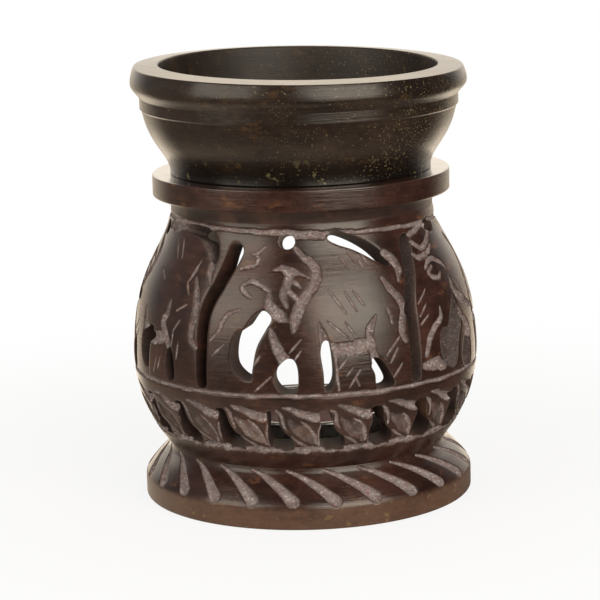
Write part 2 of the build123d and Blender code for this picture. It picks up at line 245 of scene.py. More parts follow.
def rounded(points, closed=False):
    """A smooth line through points: on each leg the cubic whose slopes at its ends follow the neighbours."""
    points = np.asarray(points, float)
    if closed:
        ring = np.concatenate([points[-1:], points, points[:2]])
    else:
        ring = np.concatenate([2 * points[:1] - points[1:2], points, 2 * points[-1:] - points[-2:-1]])
    a, b, c, d = ring[:-3], ring[1:-2], ring[2:-1], ring[3:]
    t = (np.arange(curve_steps) / curve_steps)[:, None, None]
    line = b + t * (c - a) / 2 + t**2 * (a - 2.5 * b + 2 * c - d / 2) + t**3 * (1.5 * (b - c) + (d - a) / 2)
    line = line.transpose(1, 0, 2).reshape(-1, points.shape[1])
    return line if closed else np.concatenate([line, points[-1:]])


def knots_between(low, high, shares):
    """Knots from one place to another, both (height, radius), with those between them given as shares of the
    way up and of the way out."""
    (base, start), (top, end) = low, high
    return [low, *((base + (top - base) * up, start + (end - start) * out) for up, out in shares), high]


def swell_knots(low, middle, high):
    """Heights and radii of the belly's curve, lowest first, for its radii at the waist, belly and neck."""
    belly = (belly_height, middle)
    lower = knots_between((waist_height, low), belly, lower_belly_shares)
    return np.array(lower[:-1] + knots_between(belly, (neck_height, high), upper_belly_shares)).T


height_steps = 3000
# The wall's radii outside and inside, and its rise along the outside, at closely spaced heights
heights = np.linspace(waist_height - 1, neck_height + 1, height_steps)
outer_radii = through(*swell_knots(waist_radius, belly_radius, neck_radius), heights)
inner_radii = through(*swell_knots(waist_radius - wall, belly_radius - wall, mouth_radius), heights)
outer_slopes = np.gradient(outer_radii, heights)
rises = np.concatenate([[0], np.cumsum(np.hypot(np.diff(outer_radii), np.diff(heights)))])


def outer(height):
    return np.interp(height, heights, outer_radii)


def inner(height):
    return np.interp(height, heights, inner_radii)


def rise_at(height):
    return np.interp(height, heights, rises)


def height_at(rise):
    return np.interp(rise, rises, heights)


def ramp(value, low, high):
    """0 at low, 1 at high, even in between and level beyond. high may be the lower of the two."""
    return np.clip((value - low) / (high - low), 0, 1)


def value_along(values, place):
    """The values given at a path's points, at places along it counted in legs."""
    return np.interp(place, np.arange(len(values)), values)


# The waves of a ripple: how fast each goes over x and over y, how often it takes the seed, and its height
ripple_waves = ((2.3, 1.1, 1, 1.0), (-1.3, 1.9, 2, 1.0), (3.7, 2.9, 3, 0.6))


def ripple(x, y, seed):
    """A smooth wavering between -1 and 1 over x and y: sines that cross, over the sum of their heights."""
    crossed = highest = 0
    for over_x, over_y, turns, size in ripple_waves:
        crossed = crossed + size * np.sin(over_x * x + over_y * y + turns * seed)
        highest += size
    return crossed / highest


def divided(points, step):
    """Places along straight runs between points, no further apart than a step, up to the last point but
    without it."""
    runs = []
    for here, there in zip(points, points[1:]):
        count = max(1, ceil(np.hypot(*(there - here)) / step))
        runs.append(here + (there - here) * (np.arange(count) / count)[:, None])
    return np.concatenate(runs)


# The carving. A panel's places are in hundredths: across from -100 at its left slot to 100 at its right, and
# up from 0 at its base to 100 at its top
slot_path_shares = [(22, 89), (19, 83), (14, 74), (10, 67), (5, 60), (1, 51), (0, 41), (0, 30), (0, 6)]
piercing_shares = {
    "trunk_gap": [
        (-40, 54), (-33, 49), (-38, 42), (-46, 31), (-50, 16), (-51, 10), (-60, 11), (-69, 18), (-70, 29),
        (-66, 39), (-58, 42), (-50, 50),
    ],
    "fore_leg_gap": [(-19, 24), (-13, 23), (-10, 16), (-11, 4), (-19, 1), (-27, 4), (-31, 11), (-27, 19)],
    "under_belly_gap": [
        (16, 35), (20, 31), (22, 20), (22, 9), (18, 3), (13, 4), (12, 15), (10, 27), (12, 33),
    ],
    "hind_leg_gap": [(55, 17), (59, 21.5), (65, 20), (73, 11), (77, 4), (72, 1), (60, 2), (58, 11)],
    "back_gap": [
        (25, 96), (31, 101), (43, 100), (63, 95), (79, 89), (90, 82), (90, 77), (84, 77), (76, 80), (63, 85),
        (50, 89), (36, 92),
    ],
}
# Openings cut otherwise than on the front panel, by the panel's place from the left
other_piercing_shares = {
    (0, "back_gap"): [
        (34, 97), (37, 101), (56, 102), (78, 101), (92, 97), (99, 90), (101, 82), (93, 81), (84, 87),
        (72, 93), (56, 95),
    ],
    (0, "under_belly_gap"): [(14, 35), (24, 36), (33, 35), (28, 28), (26, 18), (24, 8), (14, 10), (8, 23)],
    (0, "hind_leg_gap"): [(58, 25), (64, 22), (67, 13), (66, 5), (58, 3), (54, 10), (55, 18)],
    (2, "trunk_gap"): [
        (-34, 49), (-29, 41), (-27, 32), (-36, 21), (-43, 6), (-55, 6), (-66, 14), (-67, 25), (-62, 32),
        (-52, 33), (-44, 42),
    ],
}
drill_share = (-20, 95)
drill_fall = 14.0
arc_fall = 21.0
arc_swings = (-14.0, -5.0, -5.0)
slot_swings = (-3.0, 7.5)
slot_swing_start = 0.75
slot_swing_end = 0.85
slot_flare = 0.45
slot_flare_start = 0.70
leaf_fall = -13.0

# Marks: across, up, and the width there in hundredths of the widest mark
deep_mark_shares = {
    "ear": [
        (-11, 91, 30), (-3, 86, 50), (5, 82, 60), (10, 76, 64), (7, 69, 66), (-1, 62, 66), (-8, 55, 72),
        (-11, 48, 66), (-13, 41, 16),
    ],
    "ear_leaf": [(-33, 78, 12), (-24, 79, 50), (-16, 77, 75), (-6, 76, 25), (3, 73, 10)],
    "ear_stem": [(-14, 77, 55), (-19, 70, 55), (-22, 63, 45), (-19, 56, 10)],
    "tusk": [(-36, 64, 15), (-36, 58, 60), (-30, 53, 95), (-24, 50, 80), (-20, 48, 30)],
    "fore_leg": [(-34, 44, 12), (-31, 37, 50), (-27, 30, 75), (-22, 24, 85)],
    "belly": [(22, 29, 95), (30, 29, 100), (38, 29, 100), (45, 30, 100), (51, 31, 95)],
    "hind_leg": [(63, 48, 12), (57, 42, 55), (55, 35, 60), (56, 29, 60), (58, 21, 55)],
    "rump": [(88, 84, 60), (95, 80, 62), (98, 74, 55), (95, 67, 15)],
    "tail": [
        (76, 70, 12), (82, 63, 42), (90, 56, 50), (92, 49, 50), (89, 43, 46), (87, 37, 42), (90, 30, 35),
    ],
    "flank_spike": [(9, 47, 6), (11, 41, 40), (14, 33, 70)],
    "brow": [(-13, 98, 40), (4, 98.5, 55), (20, 97.5, 45)],
    "ground_chips": [(-89, 11, 60), (-76, 11, 100), (-64, 8, 60)],
}
fine_mark_shares = {
    "curl_top": [(-44, 92, 8), (-51, 88, 24), (-58, 87, 16)],
    "curl_loop": [(-53, 86, 12), (-50, 85, 22), (-53, 81, 26), (-59, 80, 30), (-68, 78.5, 20)],
    "eye_low": [(-65, 68, 20), (-61, 65, 38), (-54, 62, 22)],
    "eye_lid": [(-63, 69, 24), (-54, 71.5, 36), (-45, 69, 34), (-36, 65.5, 18)],
    "stem_twig": [(-14.5, 72, 34), (-10, 70, 30), (-6, 67.5, 16)],
    "stem_hook": [(-19, 66, 36), (-13, 63, 42), (-9, 61, 34)],
    "trunk_fold": [(-63, 54, 10), (-72, 52, 22), (-77, 49, 30), (-80, 45, 30), (-83, 40, 26), (-91, 34, 16)],
    "belly_line": [(23, 31, 12), (23.5, 17, 18), (25, 3, 14)],
}
# Scratches by their two ends, across and up: widths at one end, where they are widest and at the other end
hatch_widths = (6, 15, 10)
widest_at = 0.4
front_hatch_shares = [
    (-49, 19, -43, 26), (-48, 3, -33, 13), (-17, 28, -7, 36), (-13, 23, -7, 29), (-89, 24, -77, 32),
    (20, 66, 35, 51), (36, 64, 45, 52), (44, 64, 53, 55), (36, 85, 44, 77), (45, 88, 53, 80),
    (17, 47, 36, 35), (33, 46, 42, 36), (75, 52, 78, 42), (69, 22, 84, 33), (73, 17, 81, 26), (75, 7, 85, 16),
    (25, 16, 35, 25), (32, 12, 38, 17), (34, 4, 44, 15), (40, 11, 43, 5), (60, 86, 65, 79), (56, 82, 59, 77),
]
left_hatch_shares = [
    (26, 91, 40, 80), (39, 92, 49, 80), (81, 81, 72, 68), (80, 76, 71, 67), (71, 67, 77, 60),
    (78, 54, 65, 49), (72, 44, 64, 36), (64, 36, 63, 27), (19, 72, 32, 66), (72, 30, 70, 18), (40, 16, 34, 6),
    (47, 18, 42, 9), (-17, 28, -7, 36), (-13, 22, -6, 29), (-89, 24, -77, 32),
]
right_hatch_shares = [
    (-75, 59, -89, 51), (-79, 50, -90, 43), (-79, 43, -90, 38), (22, 66, 35, 51), (37, 64, 45, 53),
    (45, 64, 53, 55), (36, 85, 44, 77), (45, 88, 53, 80), (20, 47, 36, 36), (34, 46, 42, 37),
    (69, 22, 84, 33), (73, 16, 81, 25), (26, 16, 35, 25), (34, 5, 44, 15), (-20, 60, -10, 50),
]
hatch_shares = (left_hatch_shares, front_hatch_shares, right_hatch_shares)
# Marks cut otherwise on a side panel, by the panel's place from the left
other_mark_shares = {
    (0, "rump"): [(97, 80, 50), (97, 74, 45), (100, 68, 15)],
    (0, "hind_leg"): [(54, 55, 10), (52, 47, 50), (48, 40, 62), (53, 33, 60), (60, 25, 50)],
    (0, "tail"): [(81, 71, 10), (87, 62, 42), (90, 51, 52), (88, 41, 52), (87, 33, 44), (93, 28, 30)],
    (0, "brow"): [(-4, 97.5, 60), (14, 98.5, 85), (31, 99, 50)],
    (2, "curl_top"): [
        (-77, 89, 22), (-69, 92, 40), (-56, 94, 44), (-40, 96.5, 44), (-29, 93, 44), (-35, 88, 44),
        (-53, 83, 44), (-63, 85, 40), (-69, 88, 26),
    ],
    (2, "curl_loop"): [(-37, 83, 18), (-52, 79, 42), (-68, 78, 42), (-75, 81, 24)],
    (2, "eye_lid"): [(-64, 71, 22), (-54, 75, 38), (-44, 75, 38), (-34, 72, 36), (-28, 68, 18)],
    (2, "eye_low"): [(-53, 71, 24), (-61, 68, 34), (-58, 65, 36), (-48, 63.5, 36), (-42, 66, 22)],
    (2, "tusk"): [(-28, 62, 14), (-28, 55, 50), (-23, 50, 75), (-10, 44, 75), (12, 37, 16)],
    (2, "fore_leg"): [(-28, 42, 14), (-23, 35, 50), (-14, 28, 70), (-12, 22, 80)],
    (2, "trunk_fold"): [(-61, 46, 16), (-63, 39, 44), (-74, 34, 52), (-82, 27, 50), (-87, 18, 34)],
    (2, "ear"): [
        (20, 84, 40), (27, 79, 56), (29, 72, 60), (24, 65, 60), (17, 57, 60), (14, 49, 50), (12, 42, 14),
    ],
}
# Marks that a panel hasn't got, from the left panel to the right
lacking_marks = (
    ("curl_top", "curl_loop", "ground_chips"), ("ground_chips",),
    ("brow", "ear_leaf", "ear_stem", "stem_twig", "stem_hook"),
)
# Marks of the left panel that have the front panel's shape but sit further to the left
left_shifts = {
    "ear": -20,
    "ear_leaf": -17,
    "ear_stem": -17,
    "stem_twig": -17,
    "stem_hook": -17,
}
for mark_name, left_shift in left_shifts.items():
    usual = {**deep_mark_shares, **fine_mark_shares}[mark_name]
    other_mark_shares[0, mark_name] = [(across + left_shift, up, width) for across, up, width in usual]

# A leaf's places: across in hundredths of the pitch from its opening, up from the band's base to its top
leaf_gap_shares = [
    (-11, 90), (0, 95), (10, 88), (15, 62), (23, 45), (38, 28), (36, 8), (10, 5), (-8, 8), (-12, 36),
    (-9, 60),
]
leaf_mark_shares = {
    "fin": [(22, 103, 8), (36, 99, 34), (56, 91, 54), (76, 82, 72), (90, 80, 66)],
    "ground": [(42, 6, 30), (66, 8, 52), (98, 5, 30)],
}
leaf_line_shares = {
    "hole_rim": [(9, 95, 14), (17, 86, 26), (22, 68, 24), (26, 52, 10)],
    "leaf_rim": [(54, 71, 8), (67, 60, 20), (78, 40, 26), (82, 17, 16)],
    "stalk": [(92, 66, 8), (90, 44, 24), (93, 14, 34)],
    "under_leaf": [(34, 36, 8), (50, 24, 20), (66, 14, 10)],
}
leaf_hollow_shares = [(30, 74, 30), (42, 62, 80), (56, 50, 110), (68, 36, 95), (76, 22, 40)]

# The vine on the two posts beside the door: across from 0 at the slot to 100 at the door, up as on a panel
vine_stem_shares = [
    (35, 3, 30), (58, 14, 32), (40, 28, 34), (60, 42, 34), (40, 56, 32), (56, 70, 30), (38, 84, 24),
    (46, 93, 10),
]
vine_leaf_shares = [
    [(56, 16, 10), (72, 20, 50), (86, 27, 12)],
    [(42, 30, 10), (26, 35, 50), (13, 43, 12)],
    [(58, 44, 10), (74, 49, 50), (86, 57, 12)],
    [(42, 58, 10), (27, 63, 50), (14, 71, 12)],
    [(55, 72, 10), (68, 77, 46), (78, 85, 12)],
    [(36, 6, 10), (24, 11, 46), (13, 19, 12)],
]
post_width = 29.0
# The leaves over the door: across in hundredths of their lean, up as on a panel
lintel_leaf_shares = [(-100, 88, 8), (0, 92, 50), (100, 96.5, 12)]
lintel_leaf_lean = 3.0
lintel_leaf_count = 9
lintel_leaf_pitch = 9.0
# How far a hand strays in mm when it repeats a leaf of the band and a leaf of a vine
leaf_stray = 0.15
vine_stray = 0.1
hand_seed = 7
hollow_dusts = (0.30, 0.62)

# Openings whose cut holds more dust than the others', by the panel's place from the left
dusty_cuts = {(0, "back_gap"): 0.50, (2, "trunk_gap"): 0.52, (2, "fore_leg_gap"): 0.40}

# How an opening is cut: its outline on the surface, the angle its cut faces at each point of the outline, how
# steeply it falls inwards, and how much dust the cut holds
Opening = namedtuple("Opening", "outline facing fall dust")
Mark = namedtuple("Mark", "path depth dust")


def placed(shares, angle, across, base, height):
    """Places in hundredths, across from an angle and up from a base, as angle in radians, rise in mm and,
    where given, width in mm."""
    table = np.array(shares, float) / 100
    table[:, 0] = np.radians(angle + table[:, 0] * across)
    table[:, 1] = rise_at(base + table[:, 1] * height)
    table[:, 2:] *= mark_width
    return table


def on_panel(shares, panel_angle, across=panel_pitch / 2):
    return placed(shares, panel_angle, across, panel_base, panel_rise)


def on_leaf(shares, leaf_angle):
    return placed(shares, leaf_angle, leaf_pitch, leaf_base, leaf_rise)


def widened(path, width):
    """The closed outline of a slot: both sides of its path, half its width there away, with round ends."""
    radius = outer(height_at(path[:, 1]))
    flat = np.column_stack([path[:, 0] * radius, path[:, 1]])
    way = np.gradient(flat, axis=0)
    way *= (width / 2 / np.hypot(way[:, 0], way[:, 1]))[:, None]
    side = np.column_stack([-way[:, 1], way[:, 0]])
    turns = np.linspace(0, pi, slot_end_corners)[1:-1, None]
    last = flat[-1] + side[-1] * np.cos(turns) + way[-1] * np.sin(turns)
    first = flat[0] - side[0] * np.cos(turns) - way[0] * np.sin(turns)
    ring = np.concatenate([flat + side, last, (flat - side)[::-1], first])
    ring[:, 0] /= outer(height_at(ring[:, 1]))
    return ring


def straight_cut(outline, fall=0.0, dust=cut_dust):
    """An opening whose cut faces one way all round, that of the middle of its outline."""
    middle = (outline[:, 0].min() + outline[:, 0].max()) / 2
    return Opening(outline, np.full(len(outline), middle), radians(fall), dust)


def door_opening():
    """The door is a rectangle with two corner sizes, drawn flat and laid on the wall straight back."""
    half = door_width / 2
    corners = [
        (half, door_sill, door_sill_corner, -pi / 2), (half, door_top, door_shoulder, 0),
        (-half, door_top, door_shoulder, pi / 2), (-half, door_sill, door_sill_corner, pi),
    ]
    flat = []
    for x, z, corner, first_turn in corners:
        turn = np.linspace(first_turn, first_turn + pi / 2, door_corner_steps)
        middle_x = x - np.sign(x) * corner
        middle_z = z + (corner if z == door_sill else -corner)
        flat.append(np.column_stack([middle_x + corner * np.cos(turn), middle_z + corner * np.sin(turn)]))
    flat = divided(np.concatenate(flat + [flat[0][:1]]), door_step)
    angle = radians(door_facing) - np.arcsin(flat[:, 0] / outer(flat[:, 1]))
    facing = np.full(len(angle), radians(door_facing))
    return Opening(np.column_stack([angle, rise_at(flat[:, 1])]), facing, 0, cut_dust)


def share_up(path):
    """How far up the panel the points of a path lie, from 0 at its base to 1 at its top."""
    return (height_at(path[:, 1]) - panel_base) / panel_rise


def all_openings():
    """Every opening of the wall."""
    found = [door_opening()]
    for place, panel_angle in enumerate(panel_angles):
        for name, usual_shares in piercing_shares.items():
            shares = other_piercing_shares.get((place, name), usual_shares)
            outline = rounded(on_panel(shares, panel_angle), closed=True)
            dust = dusty_cuts.get((place, name), cut_dust)
            if name == "back_gap":
                facing = outline[:, 0] + radians(arc_swings[place])
                found.append(Opening(outline, facing, radians(arc_fall), dust))
            else:
                found.append(straight_cut(outline, dust=dust))
        centre = on_panel([drill_share], panel_angle)[0]
        turn = np.linspace(0, 2 * pi, drill_corners, endpoint=False)
        around = drill_diameter / 2 * np.column_stack([np.cos(turn), np.sin(turn)])
        around[:, 0] /= outer(height_at(centre[1]))
        found.append(straight_cut(centre + around, drill_fall))
    for slot_angle, slot_dust in zip(slot_angles, slot_dusts):
        path = rounded(on_panel(slot_path_shares, slot_angle))
        flare = slot_flare * ramp(share_up(path), slot_flare_start, 1)
        outline = widened(path, slot_width * (1 + flare))
        swing = 0 * outline[:, 0]
        if slot_angle == slot_angles[1]:
            up = ramp(share_up(outline), slot_swing_start, slot_swing_end)
            swing = np.radians(slot_swings[0] + (slot_swings[1] - slot_swings[0]) * up)
        found.append(Opening(outline, outline[:, 0] + swing, 0, slot_dust))
    for i in range(-leaves_each_side, leaves_each_side + 1):
        outline = rounded(on_leaf(leaf_gap_shares, first_leaf_angle + i * leaf_pitch), closed=True)
        found.append(straight_cut(outline, leaf_fall))
    return all_round(found, lambda opening, turn: opening._replace(
        outline=opening.outline + [turn, 0], facing=opening.facing + turn))


def all_marks():
    """Every gouge and scratch of the wall: its path with widths, its depth and how much dust it holds."""
    found = []
    rng = np.random.default_rng(hand_seed)

    def gouge(table, depth_share=1.0, dust=1.0, stray=0.0):
        """A mark along a table's points. Where a hand repeats it, each point strays a little."""
        if stray:
            table[:, :2] += rng.normal(0, stray, table[:, :2].shape) / [usual_radius, 1]
        found.append(Mark(rounded(table), mark_depth * depth_share, dust))

    for place, panel_angle in enumerate(panel_angles):
        for table, depth_share, dust in ((deep_mark_shares, 1, 1), (fine_mark_shares, fine_depth, fine_dust)):
            for name, usual_shares in table.items():
                shares = other_mark_shares.get((place, name), usual_shares)
                if name not in lacking_marks[place]:
                    gouge(on_panel(shares, panel_angle), depth_share, dust)
        for *first, x, y in hatch_shares[place]:
            first, last = np.array(first), np.array([x, y])
            ends = [first, first * (1 - widest_at) + last * widest_at, last]
            gouge(on_panel(np.column_stack([ends, hatch_widths]), panel_angle), hatch_depth, fine_dust)
    for i in range(-leaves_each_side, leaves_each_side + 1):
        leaf_angle = first_leaf_angle + i * leaf_pitch
        for table, depth_share in ((leaf_mark_shares, 1.0), (leaf_line_shares, leaf_line_depth)):
            for shares in table.values():
                gouge(on_leaf(shares, leaf_angle), depth_share, stray=leaf_stray)
        tone = rng.uniform(*hollow_dusts)
        gouge(on_leaf(leaf_hollow_shares, leaf_angle), hollow_depth, tone, leaf_stray)
    for slot_angle, way in ((slot_angles[-1], 1), (slot_angles[0] + 360, -1)):
        for shares in (vine_stem_shares, *vine_leaf_shares):
            gouge(on_panel(shares, slot_angle, way * post_width), stray=vine_stray)
    for i in range(lintel_leaf_count):
        from_middle = i - (lintel_leaf_count - 1) / 2
        lean = (np.sign(from_middle) or 1) * lintel_leaf_lean
        angle = door_facing + from_middle * lintel_leaf_pitch
        gouge(on_panel(lintel_leaf_shares, angle, lean), stray=vine_stray)
    return all_round(found, lambda mark, turn: mark._replace(path=mark.path + [turn, 0, 0]))


def all_round(features, turned_by):
    """The features with those that reach past the first slot repeated a whole turn on, and the other way."""
    first, last = radians(slot_angles[0]), radians(slot_angles[0] + 360)
    again = []
    for feature in features:
        low, high = feature[0][:, 0].min(), feature[0][:, 0].max()
        again.append(feature)
        if low < first + seam_reach:
            again.append(turned_by(feature, 2 * pi))
        if high > last - seam_reach:
            again.append(turned_by(feature, -2 * pi))
    return again


def close_to(path, angle, rise, reach):
    """The places that lie within reach of the box round a path."""
    turn = reach / neck_radius
    beside = (angle > path[:, 0].min() - turn) & (angle < path[:, 0].max() + turn)
    level = (rise > path[:, 1].min() - reach) & (rise < path[:, 1].max() + reach)
    return np.flatnonzero(beside & level)


def closest(start_x, start_y, leg_x, leg_y):
    """The distance to a path of straight legs, whose starts and runs are given as seen from each place, and
    where along the path the nearest point lies, in legs. The last axis counts the legs."""
    share = -(start_x * leg_x + start_y * leg_y) / np.maximum(leg_x**2 + leg_y**2, tiny**2)
    share = np.clip(share, 0, 1)
    gap = np.hypot(start_x + share * leg_x, start_y + share * leg_y)
    leg = gap.argmin(-1)[..., None]
    return np.take_along_axis(gap, leg, -1)[..., 0], (leg + np.take_along_axis(share, leg, -1))[..., 0]


def nearest(path, angle, rise):
    """How far places on the wall are from a path in mm, and where along it the nearest point lies, in legs.
    Each place measures in the plane that touches the wall there."""
    radius = outer(height_at(rise))[:, None]
    return closest(
        (path[:-1, 0] - angle[:, None]) * radius, path[:-1, 1] - rise[:, None],
        np.diff(path[:, 0]) * radius, np.diff(path[:, 1]),
    )


def inside(ring, angle, rise):
    """Whether places lie in a closed outline: a level line from each crosses it an odd number of times."""
    low, high = ring[:-1], ring[1:]
    crosses = (low[:, 1] > rise[:, None]) != (high[:, 1] > rise[:, None])
    climb = high[:, 1] - low[:, 1]
    climb = np.where(np.abs(climb) < tiny, tiny, climb)
    where = low[:, 0] + (high[:, 0] - low[:, 0]) * (rise[:, None] - low[:, 1]) / climb
    return (crosses & (where > angle[:, None])).sum(1) % 2 == 1


def bored(facing, fall, angle, height):
    """How far, in angle and height, a straight cut wanders on its way in: each edge point slides along the
    cut until its distance from the axis is the chamber's radius at its height."""
    x, y = outer(height) * np.sin(angle), -outer(height) * np.cos(angle)
    way = (-np.sin(facing) * cos(fall), np.cos(facing) * cos(fall), -sin(fall))
    length = np.full(angle.shape, wall)
    for _ in range(bore_rounds):
        far_x, far_y, far_z = x + length * way[0], y + length * way[1], height + length * way[2]
        radius = np.hypot(far_x, far_y)
        closing = np.minimum((far_x * way[0] + far_y * way[1]) / radius, -least_closing)
        length = length - (radius - inner(far_z)) / closing
    turn = np.arctan2(far_x, -far_y) - angle
    return (turn + pi) % (2 * pi) - pi, far_z - height


def openings_at(openings, angle, rise):
    """For places on the wall: the distance to the nearest opening, negative within it, the nearest point of
    its edge, how far the inside of the wall moves for the cuts, which fades away from each edge, and the dust
    in the nearest cut."""
    gap = np.full(angle.shape, np.inf)
    dust = np.full(angle.shape, cut_dust)
    edge = np.column_stack([angle, rise])
    moved = np.zeros((len(angle), 2))
    weight = np.zeros(len(angle))
    for opening in openings:
        here = close_to(opening.outline, angle, rise, cut_reach)
        if not len(here):
            continue
        ring = np.concatenate([opening.outline, opening.outline[:1]])
        distance, place = nearest(ring, angle[here], rise[here])
        edge_angle, edge_rise = value_along(ring[:, 0], place), value_along(ring[:, 1], place)
        facing = value_along(np.append(opening.facing, opening.facing[0]), place)
        turn, drop = bored(facing, opening.fall, edge_angle, height_at(edge_rise))
        signed = np.where(inside(ring, angle[here], rise[here]), -distance, distance)
        fade_width = cut_fade + cut_fade_share * np.hypot(turn * belly_radius, drop)
        share = ramp(signed, fade_width, 0)
        share = share**2 * (3 - 2 * share)
        moved[here] += share[:, None] * np.column_stack([turn, drop])
        weight[here] += share
        nearer = signed < gap[here]
        gap[here[nearer]] = signed[nearer]
        edge[here[nearer]] = np.column_stack([edge_angle, edge_rise])[nearer]
        dust[here[nearer]] = opening.dust
    moved /= np.maximum(weight, 1)[:, None]
    return gap, edge, moved, dust


def marks_at(marks, angle, rise):
    """For places on the wall: how deep the marks are there, and how dusty. Across its path a mark falls
    steeply from its edge and is nearly flat in the middle; a narrow mark is shallower."""
    depth = np.zeros(len(angle))
    dust = np.zeros(len(angle))
    x = angle * belly_radius
    waver, chatter = (ripple(x * pace, rise * pace, seed) for pace, seed in (gouge_waver, gouge_chatter))
    for mark in marks:
        here = close_to(mark.path, angle, rise, mark_width)
        if not len(here):
            continue
        distance, place = nearest(mark.path, angle[here], rise[here])
        half = value_along(mark.path[:, 2], place) / 2
        half = half * (1 + width_waver * waver[here] + width_chatter * chatter[here]) + least_half
        across = ramp(distance, 0, half)
        sunk = mark.depth * np.minimum(1, half / deep_half) * (1 - across**gouge_roundness)
        depth[here] = np.maximum(depth[here], sunk * (1 + depth_chatter * chatter[here]))
        dusty = mark.dust * ramp(distance, half + dust_spread, half + dust_spread - dust_fade)
        dust[here] = np.maximum(dust[here], dusty * (gouge_dust + gouge_dust_waver * waver[here]))
    return depth, dust


def lines_at(angle, height):
    """The two turned lines above and below the panels, and the ragged foot of the leaf band, where the
    gouges run out."""
    def waver(size, pace, seed, y=0):
        return size * ripple(angle * belly_radius * pace, y, seed)

    half = line_width / 2 * (1 + waver(*line_width_waver, height))
    swell = line_swell * np.exp(-(((angle - radians(line_swell_angle)) / radians(line_swell_turn)) ** 2))
    ragged = waver(*ragged_waver) + waver(*ragged_chatter)
    grooves = (
        (panel_base + waver(*line_waver), half, line_depth, 1.0, 4),
        (panel_top - line_lean * np.sin(angle) + waver(*line_waver), half + swell, line_depth, 1.0, 4),
        (leaf_base + ragged, ragged_width / 2 + waver(*ragged_width_waver), ragged_depth, ragged_dust, 3),
    )
    depth = dust = np.zeros(len(angle))
    for middle, half, deep, dusty, steepness in grooves:
        across = ramp(np.abs(height - middle), 0, half)
        depth = np.maximum(depth, deep * (1 - across**2))
        dust = np.maximum(dust, dusty * np.clip((1 - across) * steepness, 0, 1))
    return depth, dust * (line_dust + waver(*line_dust_waver, height))


# Meshes

def unit(vectors):
    """The vectors at a length of one, where they have a length."""
    return vectors / np.maximum(np.linalg.norm(vectors, axis=-1, keepdims=True), tiny)


def round_axis(radius, angle, height):
    """Points at a distance from the axis, an angle from the front and a height."""
    return np.stack([radius * np.sin(angle), -radius * np.cos(angle), height + 0 * angle], axis=-1)


def grid_normals(points, wraps):
    """Unit normals of a grid of points, across its rows and columns, which may wrap round."""
    if wraps:
        along = np.roll(points, -1, axis=1) - np.roll(points, 1, axis=1)
    else:
        along = np.gradient(points, axis=1)
    up = np.gradient(points, axis=0)
    normal = np.cross(along, up)
    length = np.linalg.norm(normal, axis=2, keepdims=True)
    return np.where(length > tiny, unit(normal), unit(points * [1, 1, 0]))


def new_object(name, data):
    """A new object of the scene that holds a mesh, lamp or camera."""
    holder = bpy.data.objects.new(name, data)
    bpy.context.scene.collection.objects.link(holder)
    return holder


def new_piece(name, body, finish, points, quads, triangles, normals, dust, same):
    """A mesh from corner points in mm: same gives, for each point, the one it is welded to, while normals
    and dust stay each point's own at the corners of its faces."""
    kept, welded = np.unique(same, return_inverse=True)
    corners = np.concatenate([quads.ravel(), triangles.ravel()])
    starts = np.concatenate([np.arange(len(quads)) * 4, len(quads) * 4 + np.arange(len(triangles)) * 3])
    mesh = bpy.data.meshes.new(name)
    mesh.vertices.add(len(kept))
    mesh.vertices.foreach_set("co", (points[kept] * MM).ravel())
    mesh.loops.add(len(corners))
    mesh.loops.foreach_set("vertex_index", welded.ravel()[corners])
    mesh.polygons.add(len(starts))
    mesh.polygons.foreach_set("loop_start", starts)
    mesh.polygons.foreach_set("use_smooth", np.ones(len(starts), bool))
    mesh.update(calc_edges=True)
    mesh.attributes.new("dust", "FLOAT", "CORNER").data.foreach_set("value", dust[corners])
    mesh.normals_split_custom_set(normals[corners].tolist())
    mesh.materials.append(finish)
    piece = new_object(name, mesh)
    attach(piece, body)
    return piece


